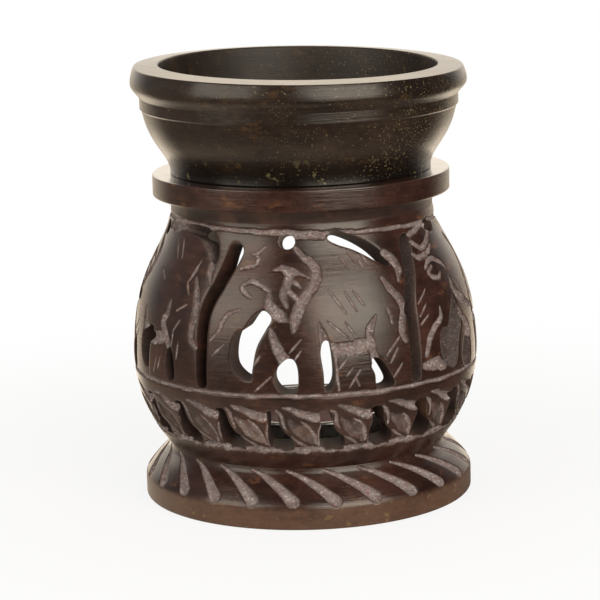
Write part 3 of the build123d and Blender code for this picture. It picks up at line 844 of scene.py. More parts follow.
def carved_wall(name, first_angle, last_angle, low, high, openings, marks, finish):
    """A part of the pierced wall, from one angle to another and one height to another. Its outside is a grid
    of angle and height. Grid points beside an opening's edge move onto the edge, what lies within is left
    out, and marks sink the rest. The same grid, moved for the way the openings are cut, is its inside, and
    strips join the two round every edge."""
    first, last = radians(first_angle), radians(last_angle)
    columns = round((last - first) * belly_radius / cell)
    rows = round((high - low) / cell)
    across = first + (last - first) * np.arange(-1, columns + 2) / columns
    upwards = low + (high - low) * np.arange(-1, rows + 2) / rows
    shape = (rows + 3, columns + 3)
    angle, height = (table.ravel() for table in np.meshgrid(across, upwards))
    gap, edge, moved, edge_dust = openings_at(openings, angle, rise_at(height))
    snapped = np.abs(gap) < snap_reach
    side = np.where(snapped, 0, np.sign(gap))
    angle = np.where(snapped, edge[:, 0], angle)
    height = np.where(snapped, height_at(edge[:, 1]), height)
    depth, dust = marks_at(marks, angle, rise_at(height))
    groove_depth, groove_dust = lines_at(angle, height)
    depth = np.maximum(depth, groove_depth)
    dust = np.maximum(dust, groove_dust)
    worn = ramp(np.where(snapped, 0, gap), lip_width, 0) ** 2
    depth = depth + lip_depth * worn
    dust = np.maximum(dust, lip_dust * worn)
    above = height - panel_top - line_width
    dust = np.maximum(dust, neck_satin * ramp(above, 0, satin_ease))

    slope = np.interp(height, heights, outer_slopes)
    tilt = np.hypot(1, slope)
    outside = round_axis(outer(height) - depth / tilt, angle, height + depth * slope / tilt)
    moved *= ramp(np.minimum(neck_height - height, height - waist_height), 0, border_ease)[:, None]
    inner_height = height + moved[:, 1]
    within = round_axis(inner(inner_height), angle + moved[:, 0], inner_height)
    outside_normals = grid_normals(outside.reshape(*shape, 3), False).reshape(-1, 3)
    within_normals = -grid_normals(within.reshape(*shape, 3), False).reshape(-1, 3)

    index = np.arange(len(angle)).reshape(shape)[1:-1, 1:-1]
    corners = np.stack([index[:-1, :-1], index[:-1, 1:], index[1:, 1:], index[1:, :-1]], axis=-1)
    corners = corners.reshape(-1, 4)
    signs = side[corners]
    quads = corners[(signs.min(1) >= 0) & ((signs.max(1) > 0) | (gap[corners].sum(1) > 0))]
    triangles = np.concatenate([
        corners[(signs[:, out] > 0) & (signs[:, (out + 2) % 4] < 0)][:, three]
        for out, three in ((0, (0, 1, 3)), (2, (1, 2, 3)), (1, (0, 1, 2)), (3, (0, 2, 3)))
    ])

    starts = np.concatenate([quads.ravel(), triangles.ravel()])
    ends = np.concatenate([np.roll(quads, -1, axis=1).ravel(), np.roll(triangles, -1, axis=1).ravel()])
    count = len(angle)
    rim = ~np.isin(starts * count + ends, ends * count + starts)
    starts, ends = starts[rim], ends[rim]
    used, place = np.unique(np.concatenate([quads.ravel(), triangles.ravel()]), return_inverse=True)
    quads, triangles = place[: quads.size].reshape(-1, 4), place[quads.size:].reshape(-1, 3)
    starts, ends = np.searchsorted(used, starts), np.searchsorted(used, ends)
    size = len(used)
    points = np.concatenate([outside[used], within[used]])
    strip = np.column_stack([ends, starts, starts + size, ends + size])
    facing = np.cross(points[strip[:, 2]] - points[strip[:, 0]], points[strip[:, 3]] - points[strip[:, 1]])
    strip_normals = np.zeros((2 * size, 3))
    for column in range(4):
        np.add.at(strip_normals, strip[:, column], facing)
    normals = np.concatenate([outside_normals[used], within_normals[used], unit(strip_normals)])
    dust = np.concatenate([dust[used], np.full(size, inside_dust), np.tile(edge_dust[used], 2)])
    same = np.tile(np.arange(2 * size), 2)
    all_quads = np.concatenate([quads, quads[:, ::-1] + size, strip + 2 * size])
    all_triangles = np.concatenate([triangles, triangles[:, ::-1] + size])
    piece = new_piece(
        name, "burner", finish, np.concatenate([points, points]), all_quads, all_triangles,
        normals, dust, same,
    )
    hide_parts("body")


arc_steps = 5


def profile_of(corners, step):
    """The points of a turned profile from its corners (radius, height, rounding). A corner with a rounding
    becomes an arc, one with 0 is written twice, so that it stays sharp, and one with None is a point of a
    curve. Runs longer than a step are divided."""
    places = np.array([(radius, height) for radius, height, rounding in corners], float)
    points = []
    for i, (here, (*_, rounding)) in enumerate(zip(places, corners)):
        if rounding is None:
            points.append(here)
        elif rounding == 0:
            points += [here, here]
        else:
            before = places[i - 1] - here
            after = places[i + 1] - here
            before /= np.hypot(*before)
            after /= np.hypot(*after)
            half = np.arccos(before @ after) / 2
            inwards = (before + after) / np.hypot(*(before + after))
            centre = here + inwards * rounding / np.sin(half)
            start = here + before * rounding / np.tan(half) - centre
            end = here + after * rounding / np.tan(half) - centre
            first = np.arctan2(start[1], start[0])
            turn = (np.arctan2(end[1], end[0]) - first + pi) % (2 * pi) - pi
            turns = first + turn * np.arange(arc_steps + 1) / arc_steps
            points += list(centre + rounding * np.column_stack([np.cos(turns), np.sin(turns)]))
    return np.concatenate([divided(points, step), points[-1:]])


def curve_corners(knots, rows):
    """Corners along a curve through knots of height and radius, at evenly spaced heights."""
    knot_heights, knot_radii = np.array(knots).T
    up = np.linspace(knot_heights[0], knot_heights[-1], rows)
    return [(radius, height, None) for radius, height in zip(through(knot_heights, knot_radii, up), up)]


def turned(name, body, finish, corners, columns, closed=False, step=1.2, sink=None, settle=None):
    """A surface of revolution: the points of its profile are the rows, and the angle gives the columns. sink
    gives each point's depth below the surface and its dust from its angle, height and radius. settle moves
    points."""
    profile = profile_of(corners, step)
    if closed:
        profile = np.concatenate([profile[-1:], profile, profile[:1]])
    rows = len(profile)
    angle = 2 * pi * np.arange(columns) / columns
    along = unit(np.gradient(profile, axis=0))
    depth = dust = np.zeros((rows, columns))
    if sink:
        depth, dust = sink(angle[None, :], profile[:, 1][:, None], profile[:, 0][:, None])
    points = round_axis(profile[:, :1] - depth * along[:, 1:], angle, profile[:, 1:] + depth * along[:, :1])
    if settle:
        points = settle(points)
    normals = grid_normals(points, True)
    on_axis = np.abs(profile[:, 0]) < tiny
    for row in np.flatnonzero(on_axis):
        normals[row] = (0, 0, -1 if row == 0 else 1)
    index = np.arange(rows * columns).reshape(rows, columns)
    same = index.copy()
    same[on_axis] = same[on_axis][:, :1]
    doubled = np.flatnonzero(np.hypot(*np.diff(profile, axis=0).T) < tiny)
    same[doubled + 1] = same[doubled]
    keep = np.ones(rows - 1, bool)
    keep[doubled] = False
    if closed:
        same[-1] = same[1]
        same[-2] = index[-2]
        same[0] = same[-2]
        keep[0] = False
    lower, upper = index[:-1], index[1:]
    a, b, c, d = lower, np.roll(lower, -1, axis=1), np.roll(upper, -1, axis=1), upper
    from_axis, to_axis = on_axis[:-1] & keep, on_axis[1:] & keep
    plain = keep & ~from_axis & ~to_axis
    quads = np.stack([a, b, c, d], axis=2)[plain].reshape(-1, 4)
    triangles = np.concatenate([
        np.stack([a, c, d], axis=2)[from_axis].reshape(-1, 3),
        np.stack([a, b, c], axis=2)[to_axis].reshape(-1, 3),
    ])
    return new_piece(
        name, body, finish, points.reshape(-1, 3), quads, triangles, normals.reshape(-1, 3),
        dust.ravel(), same.ravel(),
    )


# Shaders

class Shade:
    """An output of a node. Sums, differences, products and quotients of it add Math nodes to its tree."""

    def __init__(self, tree, socket):
        self.tree = tree
        self.socket = socket

    def maths(self, operation, first, second):
        return self.tree.add("ShaderNodeMath", {"operation": operation}, {0: first, 1: second})

    def __add__(self, other):
        return self.maths("ADD", self, other)

    def __radd__(self, other):
        return self.maths("ADD", other, self)

    def __sub__(self, other):
        return self.maths("SUBTRACT", self, other)

    def __rsub__(self, other):
        return self.maths("SUBTRACT", other, self)

    def __mul__(self, other):
        return self.maths("MULTIPLY", self, other)

    def __truediv__(self, other):
        return self.maths("DIVIDE", self, other)

    def between(self, low, high):
        """0 below low, 1 above high, and smooth in between."""
        values = {"Value": self, "From Min": low, "From Max": high}
        return self.tree.add("ShaderNodeMapRange", {"interpolation_type": "SMOOTHSTEP"}, values)

    def beside(self, name):
        """Another output of the same node."""
        return Shade(self.tree, self.socket.node.outputs[name])

    def parts(self):
        """The x, y and z of a vector."""
        x = self.tree.add("ShaderNodeSeparateXYZ", {}, {0: self})
        return x, x.beside("Y"), x.beside("Z")


class Tree:
    """The nodes of a material or of the world."""

    def __init__(self, owner):
        owner.use_nodes = True
        self.tree = owner.node_tree
        self.tree.nodes.clear()

    def add(self, kind, settings=None, values=None, output=0):
        """A node of a kind, with its settings made first and then its inputs given values or links."""
        node = self.tree.nodes.new(kind)
        for name, value in (settings or {}).items():
            setattr(node, name, value)
        for name, value in (values or {}).items():
            if isinstance(value, Shade):
                self.tree.links.new(value.socket, node.inputs[name])
            else:
                node.inputs[name].default_value = value
        return Shade(self, node.outputs[output]) if len(node.outputs) else None

    def mix(self, share, first, second):
        """A colour that goes from the first to the second as the share goes from 0 to 1."""
        inputs = {0: share}
        for place, colour in ((6, first), (7, second)):
            inputs[place] = colour if isinstance(colour, Shade) else (*colour, 1)
        return self.add("ShaderNodeMix", {"data_type": "RGBA"}, inputs, output=2)

    def rays(self):
        """1 for what the camera sees straight, and 1 for what is mirrored."""
        seen = self.add("ShaderNodeLightPath")
        return seen, seen.beside("Is Glossy Ray")

    def place_in_mm(self):
        metres = self.add("ShaderNodeTexCoord", output=3)
        return self.add("ShaderNodeVectorMath", {"operation": "MULTIPLY"}, {0: metres, 1: (1 / MM,) * 3})

    def noise(self, place, across, up, detail, roughness, seed):
        """Cloudy noise about 0.5, which has so many clouds in a mm across and in a mm up."""
        values = {0: place, 1: (across, across, up)}
        stretched = self.add("ShaderNodeVectorMath", {"operation": "MULTIPLY"}, values)
        values = {0: stretched, 1: (seed, seed * 1.7, -seed)}
        moved = self.add("ShaderNodeVectorMath", {"operation": "ADD"}, values)
        values = {"Vector": moved, "Scale": 1.0, "Detail": detail, "Roughness": roughness}
        return self.add("ShaderNodeTexNoise", {}, values)

    def finished(self, relief, inputs):
        """Ends a material: a surface with these inputs, on which a relief in mm shows as bumps."""
        bump = self.add("ShaderNodeBump", {}, {"Strength": 1.0, "Distance": MM, "Height": relief})
        shader = self.add("ShaderNodeBsdfPrincipled", {}, {**inputs, "Normal": bump})
        self.add("ShaderNodeOutputMaterial", {}, {"Surface": shader})


def new_finish(name):
    material = bpy.data.materials.new(name)
    return material, Tree(material)


# The stone's patterns, each of noise: clouds in a mm across and up, detail, roughness and seed
stone_patterns = {
    "clouds": (0.09, 0.13, 4.0, 0.60, 3.1),
    "fine_clouds": (0.5, 0.9, 3.0, 0.55, 9.7),
    "streaks": (0.05, 2.6, 3.0, 0.65, 17.0),
    "hairlines": (0.12, 9.0, 2.0, 0.55, 29.0),
    "blotches": (0.16, 0.28, 5.0, 0.70, 41.0),
    "veins": (0.9, 1.4, 4.0, 0.70, 53.0),
    "crowds": (0.05, 0.07, 2.0, 0.55, 67.0),
    "grain": (3.2, 3.2, 4.0, 0.70, 83.0),
    "crumbs": (1.5, 2.0, 4.0, 0.75, 89.0),
    "smears": (0.2, 0.5, 3.0, 0.55, 97.0),
    "stains": (0.13, 0.035, 3.0, 0.55, 103.0),
    "spots": (0.45, 0.55, 2.0, 0.50, 107.0),
}
# Colours of the dust in the cuts: all over, and in its veins, crumbs and clouds, and a painted shade in the
# hollows between its grains
dust_colour = (0.235, 0.190, 0.190)
vein_colour = (0.215, 0.092, 0.086)
crumb_colour = (0.52, 0.47, 0.47)
hollow_shade_colour = (0.085, 0.055, 0.053)
cloud_colour = (0.140, 0.106, 0.110)
raw_roughness = 0.65
coat_roughness = 0.12
# Only the collar's top has a thick coat of wax: it begins just under it, and on the dish above its rim
coat_ease = 0.3
collar_gloss_from = body_height - 0.4
dish_gloss_from = rim_top + 5.0


def polished_stone(name, dark, light, warm, speck, streak_strength, speck_cover, speck_size, speck_drift,
                   base_wear_and_shade_colour, base_wear_and_shade_share, base_from, base_to, polish, ior, gloss_from):
    """Turned and waxed soapstone: clouds of two tones, level streaks from the lathe, warm blotches, small
    specks and, in the cuts, pale dry dust over rough stone. Between base_from and base_to its foot takes
    another colour: paler worn stone on the body, and on the dish a painted shade that darkens the foot of
    its flare. Above gloss_from a thicker coat of wax shines. Each pattern is noise on the place in mm,
    drawn out level where the lathe made it; tone = 1.4 clouds + 0.5 fine clouds + streaks, each about 0."""
    material, tree = new_finish(name)
    place = tree.place_in_mm()
    found = {pattern: tree.noise(place, *values) for pattern, values in stone_patterns.items()}
    clouds, fine_clouds, streaks, hairlines = (
        found[pattern] - 0.5 for pattern in ("clouds", "fine_clouds", "streaks", "hairlines"))
    grain, crumbs = found["grain"], found["crumbs"]
    specks = tree.noise(place, 1 / speck_size, 1 / speck_size, 2.0, 0.50, 71.0)
    blots = tree.noise(place, 0.30 / speck_size, 0.30 / speck_size, 3.0, 0.60, 79.0)
    rightwards, _, upwards = place.parts()

    tone = clouds * 1.4 + fine_clouds * 0.5 + streaks * streak_strength + 0.45
    base = tree.mix(tone.between(0.1, 1.0), dark, light)
    base = tree.mix(found["blotches"].between(0.56, 0.74) * 0.75, base, warm)
    # Near the base: paler worn stone on the body's foot, and painted shade darkening the foot of the dish's
    # flare
    near_base_wear_and_shade = (1 - upwards.between(base_from, base_to)) * (base_wear_and_shade_share + clouds * 1.2 + fine_clouds * 0.8)
    base = tree.mix(near_base_wear_and_shade, base, base_wear_and_shade_colour)
    lean = (found["crowds"] - 0.5) * 0.20 + rightwards * speck_drift
    speckled = (specks + lean).between(speck_cover, speck_cover + 0.10)
    blotted = blots + lean * 0.4 + (specks - 0.5) * 0.3
    blotted = blotted.between(speck_cover + 0.06, speck_cover + 0.16)
    base = tree.mix(speckled * 0.45 + blotted * 0.45, base, speck)
    base = tree.mix(near_base_wear_and_shade * found["spots"].between(0.62, 0.70) * 0.6, base, speck)

    dust = tree.add("ShaderNodeAttribute", {"attribute_name": "dust"}, output=2)
    dusty = tree.mix(found["veins"].between(0.49, 0.62) * 0.8, dust_colour, vein_colour)
    dusty = tree.mix(crumbs.between(0.50, 0.64), dusty, crumb_colour)
    # Painted shade: the hollows between grains, low in the bump, are darkened
    dusty = tree.mix((1 - grain.between(0.36, 0.50)) * 0.6, dusty, hollow_shade_colour)
    dusty = tree.mix(found["fine_clouds"].between(0.50, 0.64) * 0.55, dusty, cloud_colour)
    covered = (dust * (0.72 + grain * 0.5)).between(0.12, 0.85)
    raw = dust.between(0.04, 0.18)
    base = tree.mix(raw * found["stains"].between(0.54, 0.70) * 0.7, base, warm)
    colour = tree.mix(covered, base, dusty)

    waxed = polish + (found["smears"] - 0.5) * 0.14 + hairlines * 0.08
    roughness = waxed + (raw_roughness - waxed) * raw
    relief = (hairlines * 0.5 + streaks * 0.9) * (1 - covered) * 0.050 + (grain - 0.5) * covered * 0.16
    relief = relief + (crumbs - 0.5) * covered * 0.30 + (specks - 0.5) * 0.004
    tree.finished(relief, {
        "Base Color": colour, "Roughness": roughness, "IOR": ior,
        "Coat Weight": upwards.between(gloss_from, gloss_from + coat_ease), "Coat Roughness": coat_roughness,
    })
    return material


# The body's base colour is the paler worn stone of its foot band
body_stone = polished_stone(
    "turned_brown_soapstone", dark=(0.016, 0.0052, 0.0040), light=(0.064, 0.026, 0.0185),
    warm=(0.135, 0.055, 0.023), speck=(0.20, 0.13, 0.05), streak_strength=0.50, speck_cover=0.80,
    speck_size=1.1, speck_drift=0.0, base_wear_and_shade_colour=(0.105, 0.053, 0.034), base_wear_and_shade_share=0.80, base_from=4.0,
    base_to=6.0, polish=0.22, ior=1.62, gloss_from=collar_gloss_from,
)
# The dish's near-black base colour is painted shade at the foot of its flare, just above the collar
dish_stone = polished_stone(
    "turned_olive_soapstone", dark=(0.013, 0.0082, 0.0066), light=(0.038, 0.024, 0.017),
    warm=(0.080, 0.042, 0.017), speck=(0.26, 0.22, 0.11), streak_strength=0.30, speck_cover=0.655,
    speck_size=0.50, speck_drift=0.0016, base_wear_and_shade_colour=(0.0045, 0.0034, 0.0030), base_wear_and_shade_share=0.90,
    base_from=75.0, base_to=84.0, polish=0.19, ior=1.50, gloss_from=dish_gloss_from,
)


def pressed_metal(name, colour, roughness, pit_size):
    """Thin pressed sheet metal: a bright metal whose roughness wanders in clouds, with fine level rubbing
    marks and a slight unevenness of the sheet."""
    material, tree = new_finish(name)
    place = tree.place_in_mm()
    clouds = tree.noise(place, 0.25, 0.25, 4.0, 0.55, 5.0)
    rubbed = tree.noise(place, 0.6, 7.0, 3.0, 0.55, 13.0) - 0.5
    dents = tree.noise(place, 1 / pit_size, 1 / pit_size, 2.0, 0.55, 19.0)
    tint = tree.mix(clouds.between(0.35, 0.75), colour, tuple(part * 0.86 for part in colour))
    rough = roughness + (clouds - 0.5) * 0.16 + rubbed * 0.14
    relief = (dents - 0.5) * 0.05 + rubbed * 0.008
    tree.finished(relief, {"Base Color": tint, "Roughness": rough, "Metallic": 1.0})
    return material


def soft_solid(name, colour, shade, roughness, cloud_size, grain_size, grain_height):
    """A dull soft stuff, wax or cotton: its colour drifts to a shade of it in clouds, and a fine grain
    roughens it."""
    material, tree = new_finish(name)
    place = tree.place_in_mm()
    clouds = tree.noise(place, 1 / cloud_size, 1 / cloud_size, 4.0, 0.55, 7.0)
    grain = tree.noise(place, 1 / grain_size, 1 / grain_size, 3.0, 0.65, 23.0)
    tint = tree.mix(clouds.between(0.35, 0.70) * 0.7 + grain.between(0.5, 0.8) * 0.3, colour, shade)
    rough = roughness + (clouds - 0.5) * 0.20 + (grain - 0.5) * 0.10
    tree.finished((grain - 0.5) * grain_height, {"Base Color": tint, "Roughness": rough, "IOR": 1.33})
    return material


cup_metal = pressed_metal("pressed_aluminium", (0.80, 0.80, 0.81), roughness=0.30, pit_size=2.2)
tinned_metal = pressed_metal("tinned_steel", (0.62, 0.60, 0.57), roughness=0.36, pit_size=1.4)
# Painted shade: the wax is coloured a dark plum red, so that the tealight seen through the holes stays as
# dark as the shaded chamber
wax = soft_solid(
    "candle_wax", (0.16, 0.016, 0.024), (0.22, 0.028, 0.034), roughness=0.62, cloud_size=5.0, grain_size=0.7,
    grain_height=0.04,
)
cotton = soft_solid(
    "braided_cotton", (0.80, 0.77, 0.70), (0.62, 0.57, 0.48), roughness=0.85, cloud_size=1.2, grain_size=0.12,
    grain_height=0.05,
)

# Columns of the turned pieces
foot_columns = 840
stone_columns = 320
cup_columns = 480
wax_columns = 240
tin_columns = 96
wick_columns = 48

# The pierced wall
wall_openings = all_openings()
wall_marks = all_marks()
wall_parts = {
    "left": (slot_angles[0], slot_angles[1]), "front": (slot_angles[1], slot_angles[2]),
    "right": (slot_angles[2], slot_angles[3]), "door": (slot_angles[3], slot_angles[0] + 360),
}
for side_name, (start_angle, end_angle) in wall_parts.items():
    for part_name, low, high in (("leaf_band", waist_height, panel_base), ("panel", panel_base, neck_height)):
        carved_wall(
            f"body_{part_name}_{side_name}", start_angle, end_angle, low, high, wall_openings, wall_marks,
            body_stone,
        )

# The foot, with its flutes
slope_start = np.array([foot_radius, foot_band_height])
slope_end = np.array([waist_radius, waist_height])
slope_shares = np.linspace(0, 1, foot_slope_rows)[:, None]
slope_out = (slope_end - slope_start)[::-1] * [1, -1]
slope_out /= np.hypot(*slope_out)
slope_swell = slope_out * through(*np.array(foot_slope_shares, float).T, slope_shares)
slope_points = slope_start + (slope_end - slope_start) * slope_shares + slope_swell
flute_path = rounded([(across * flute_turn, up, width) for across, up, width in flute_shares])


def flutes(angle, height, radius):
    """The flutes lean round the foot's slope: a pointed groove that widens downwards to a round end, with
    a round bottom whose depth follows its width."""
    pitch = 360 / flute_count
    turn = np.degrees(angle) + 0 * height
    on_slope = (radius > waist_radius - margin) & (height > foot_band_height - band_ease - margin)
    stretch = np.hypot(1, (foot_radius - waist_radius) / (waist_height - foot_band_height))
    path_x = flute_path[:, 0] * radians(1) * foot_radius
    path_y = flute_path[:, 1] * stretch
    depth = np.zeros(turn.shape)
    for neighbour in (-1, 0, 1):
        cell_turn = (turn + pitch / 2) % pitch - pitch / 2 + neighbour * pitch
        gap, place = closest(
            path_x[:-1] - cell_turn[..., None] * radians(1) * foot_radius,
            path_y[:-1] - height[..., None] * stretch, np.diff(path_x), np.diff(path_y),
        )
        half = value_along(flute_path[:, 2], place) / 2
        across = ramp(gap, 0, half)
        depth = np.maximum(depth, half * flute_depth_share * (1 - across**flute_roundness))
    depth = depth * on_slope
    return depth, ramp(depth, 0, flute_dust_depth)


chamber_low_radius = waist_radius - wall
foot_corners = [(0, 0, None), (foot_radius, 0, foot_edge), (foot_radius, foot_band_height - band_ease, None)]
foot_corners += [(radius, height, None) for radius, height in slope_points[1:-1]]
foot_corners += [
    (waist_radius, waist_height, 0), (chamber_low_radius, waist_height, 0),
    (chamber_low_radius, floor_thickness, well_corner), (0, floor_thickness, None),
]
foot = turned("body_foot", "burner", body_stone, foot_corners, foot_columns, sink=flutes)
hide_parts("body")

# The neck's flare and the collar
collar_underside = body_height - collar_thickness
collar_corners = [
    (neck_radius, neck_height, 0),
    (neck_radius + neck_flare * neck_ease_share, neck_height + neck_ease, None),
    (neck_radius + neck_flare, collar_underside, neck_corner), (collar_radius, collar_underside, collar_edge),
    (collar_radius, body_height, collar_edge), (mouth_radius, body_height, collar_edge),
    (mouth_radius, neck_height, 0),
]


def neck_dull(angle, height, radius):
    """The neck under the collar is hard to reach, and left less polished."""
    below = (height < collar_underside - margin) & (radius > mouth_radius + margin)
    return 0 * angle * height, neck_satin * below + 0 * angle


collar = turned(
    "body_collar", "burner", body_stone, collar_corners, stone_columns, closed=True,
    sink=neck_dull,
)
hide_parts("body")

# The dish
bead_base = rim_top - dish_bead_height
band_base = bead_base - dish_band_height
flare_base = body_height + dish_foot_step
bead_top = rim_top - rim_edge - rim_crown * rim_crown_share
flare_knots = knots_between(
    (flare_base, dish_foot_radius), (band_base, dish_band_radius - dish_groove_depth), dish_flare_shares)
bead_knots = knots_between((bead_base, dish_band_radius), (rim_top, dish_bead_radius), dish_bead_shares)
bead_knots[-1] = (bead_top, rim_outer_radius + margin)
flare = curve_corners(flare_knots, flare_rows)
bead = curve_corners(bead_knots, bead_rows)
dish_corners = [
    (0, body_height - spigot_depth, None), (spigot_radius, body_height - spigot_depth, rim_edge),
    (spigot_radius, body_height, 0), (dish_foot_radius, body_height, dish_foot_corner),
    *flare[:-1], (*flare[-1][:2], 0),
    (dish_band_radius, band_base + dish_groove_depth, dish_groove_corner), (dish_band_radius, bead_base, 0),
    *bead[1:], (rim_outer_radius - margin, rim_top - rim_crown, rim_corner),
    (rim_inner_radius, rim_top, rim_edge), (bowl_foot_radius, dish_floor, bowl_corner), (0, dish_floor, None),
]


def settled(points):
    """The hand-made dish is a little lower in front: above its foot each height falls by a share of how far
    the rim leans there. The rim's face was cut a little higher, and higher still to the left: that lift grows
    with the fifth power of the share, so the lines below it hardly move."""
    x, y, z = np.moveaxis(points, 2, 0)
    share = ramp(z, flare_base, rim_top)
    front_slope, side_slope = np.tan(radians(dish_lean)), np.tan(radians(dish_side_lean))
    highest = np.hypot(front_slope, side_slope) * (rim_inner_radius + rim_edge)
    fall = highest - y * front_slope + x * side_slope
    lift = rim_lift - x * np.tan(radians(rim_side_lean))
    points[:, :, 2] += lift * share**rim_lift_power - fall * share
    return points


def satin(angle, height, radius):
    """The bowl is left less polished than the outside: it holds a trace of dust."""
    in_bowl = (radius < rim_inner_radius + margin) & (height > dish_floor - margin)
    return 0 * angle * height, dish_satin * in_bowl + 0 * angle


dish = turned(
    "dish_turned", "dish", dish_stone, dish_corners, stone_columns, sink=satin,
    settle=settled,
)
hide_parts("dish")

# The tealight: a pressed cup with ribs and a rolled lip, its wax, and the wick held up by a sustainer
cup_low, cup_high = (corner.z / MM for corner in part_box("tealight_cup"))
cup_roll = 0.55
cup_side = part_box("tealight_cup")[1].x / MM - cup_roll
cup_wall = 0.4
cup_corner = 1.5
cup_ribs = 60
rib_depth = 0.14
rib_start = (0, 1.5)
rib_end = (1.2, 2.2)
lip_first, lip_last, lip_steps = -65, 245, 19
lip_middle = cup_high - cup_roll
cup_corners = [(0, cup_low, None), (cup_side + cup_wall / 2, cup_low, cup_corner)]
for turn in np.radians(np.linspace(lip_first, lip_last, lip_steps)):
    cup_corners.append((cup_side + cup_roll * cos(turn), lip_middle + cup_roll * sin(turn), None))
cup_corners += [(cup_side - cup_wall / 2, cup_low + cup_wall, cup_corner), (0, cup_low + cup_wall, None)]


def ribs(angle, height, radius):
    """Ribs pressed in the cup's side: the depth follows a cosine round the cup, and ends below the lip."""
    level = ramp(height - cup_low - cup_corner, *rib_start) * ramp(lip_middle - height, *rib_end)
    depth = rib_depth * (0.5 - 0.5 * np.cos(angle * cup_ribs)) * level * (radius > cup_side)
    return depth, 0 * depth


cup = turned(
    "tealight_cup_pressed", "tealight", cup_metal, cup_corners, cup_columns, sink=ribs,
)
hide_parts("tealight_cup")

tin_low, tin_high = (corner.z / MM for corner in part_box("wick_sustainer"))
tin_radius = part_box("wick_sustainer")[1].x / MM
tin_disc = 0.5
tin_top = tin_low + tin_disc
tin_neck = 1.3
tin_bore = 0.75
tin_edge = 0.15
tin_bore_edge = 0.10
tin_ring_radius = 4.3
tin_ring_half = 0.3
tin_ring_depth = 0.12
tin_neck_out = 0.3
tin_neck_up = 0.4
tin_corners = [
    (0, tin_low, None), (tin_radius, tin_low, tin_edge), (tin_radius, tin_top, tin_edge),
    (tin_ring_radius + tin_ring_half, tin_top, None), (tin_ring_radius, tin_top - tin_ring_depth, None),
    (tin_ring_radius - tin_ring_half, tin_top, None), (tin_neck + tin_neck_out, tin_top, None),
    (tin_neck, tin_top + tin_neck_up, None), (tin_neck, tin_high, tin_edge),
    (tin_bore, tin_high, tin_bore_edge), (tin_bore, tin_top, 0), (0, tin_top, None),
]
tin = turned("wick_sustainer_pressed", "tealight", tinned_metal, tin_corners, tin_columns)
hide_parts("wick_sustainer")

wax_low, wax_high = (corner.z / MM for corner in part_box("tealight_wax"))
wax_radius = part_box("tealight_wax")[1].x / MM
wax_gap = 0.05
wax_edge = 0.25
# The dip of the wax's top, from its edge to the wick: radius and how far below the highest wax
wax_dips = [
    (wax_radius - 1.2, 0.25), (wax_radius - 3.5, 0.36), (wax_radius * 0.4, 0.34), (tin_neck + 1.0, 0.20),
]
wax_wick_dip = 0.02
pour_depth = 0.05
pour_pace = 0.4
pour_seed = 2.0
pour_start = (-0.6, -0.3)
pour_edge = (0.4, 1.4)
wax_corners = [
    (tin_radius + wax_gap, wax_low, 0), (wax_radius, wax_low, cup_corner), (wax_radius, wax_high, wax_edge),
    *((radius, wax_high - dip, None) for radius, dip in wax_dips),
    (tin_bore, wax_high - wax_wick_dip, 0), (tin_bore, tin_high + wax_gap, 0),
    (tin_neck + wax_gap, tin_high + wax_gap, 0), (tin_neck + wax_gap, tin_top + wax_gap, 0),
    (tin_radius + wax_gap, tin_top + wax_gap, 0),
]


def poured(angle, height, radius):
    """The poured top is not quite even: it wavers by a few hundredths of a millimetre."""
    top = ramp(height - wax_high, *pour_start) * ramp(wax_radius - radius, *pour_edge)
    waver = ripple(radius * np.cos(angle) * pour_pace, radius * np.sin(angle) * pour_pace, pour_seed)
    depth = pour_depth * (1 + waver) * top
    return depth, 0 * depth


poured_wax = turned(
    "tealight_wax_poured", "tealight", wax, wax_corners, wax_columns, closed=True, sink=poured,
)
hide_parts("tealight_wax")

wick_low, wick_high = (corner.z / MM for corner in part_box("wick"))
wick_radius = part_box("wick")[1].x / MM
strand_depth = 0.16
strand_pairs = 2
strand_twist = 2.4
strand_reach = (0.4, 0.6)
wick_step = 0.12
wick_edge = 0.1
wick_top_edge = 0.22
wick_corners = [
    (0, wick_low, None), (wick_radius, wick_low, wick_edge), (wick_radius, wick_high, wick_top_edge),
    (0, wick_high, None),
]


def braided(angle, height, radius):
    """Two sets of strands wind round the wick against each other, and the deeper of the two shows."""
    one = np.abs(np.sin(strand_pairs * angle + strand_twist * height))
    other = np.abs(np.sin(strand_pairs * angle - strand_twist * height))
    depth = strand_depth * (1 - np.maximum(one, other)) * ramp(radius, *strand_reach)
    return depth, 0 * depth


wick = turned(
    "wick_braided", "tealight", cotton, wick_corners, wick_columns, step=wick_step,
    sink=braided,
)
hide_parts("wick")

# Stage, light and camera
floor_reach = 4.0
floor_mesh = bpy.data.meshes.new("floor")
floor_corners = [(x * floor_reach, y * floor_reach, 0) for x, y in ((-1, -1), (1, -1), (1, 1), (-1, 1))]
floor_mesh.from_pydata(floor_corners, [], [(0, 1, 2, 3)])
floor = new_object("floor", floor_mesh)


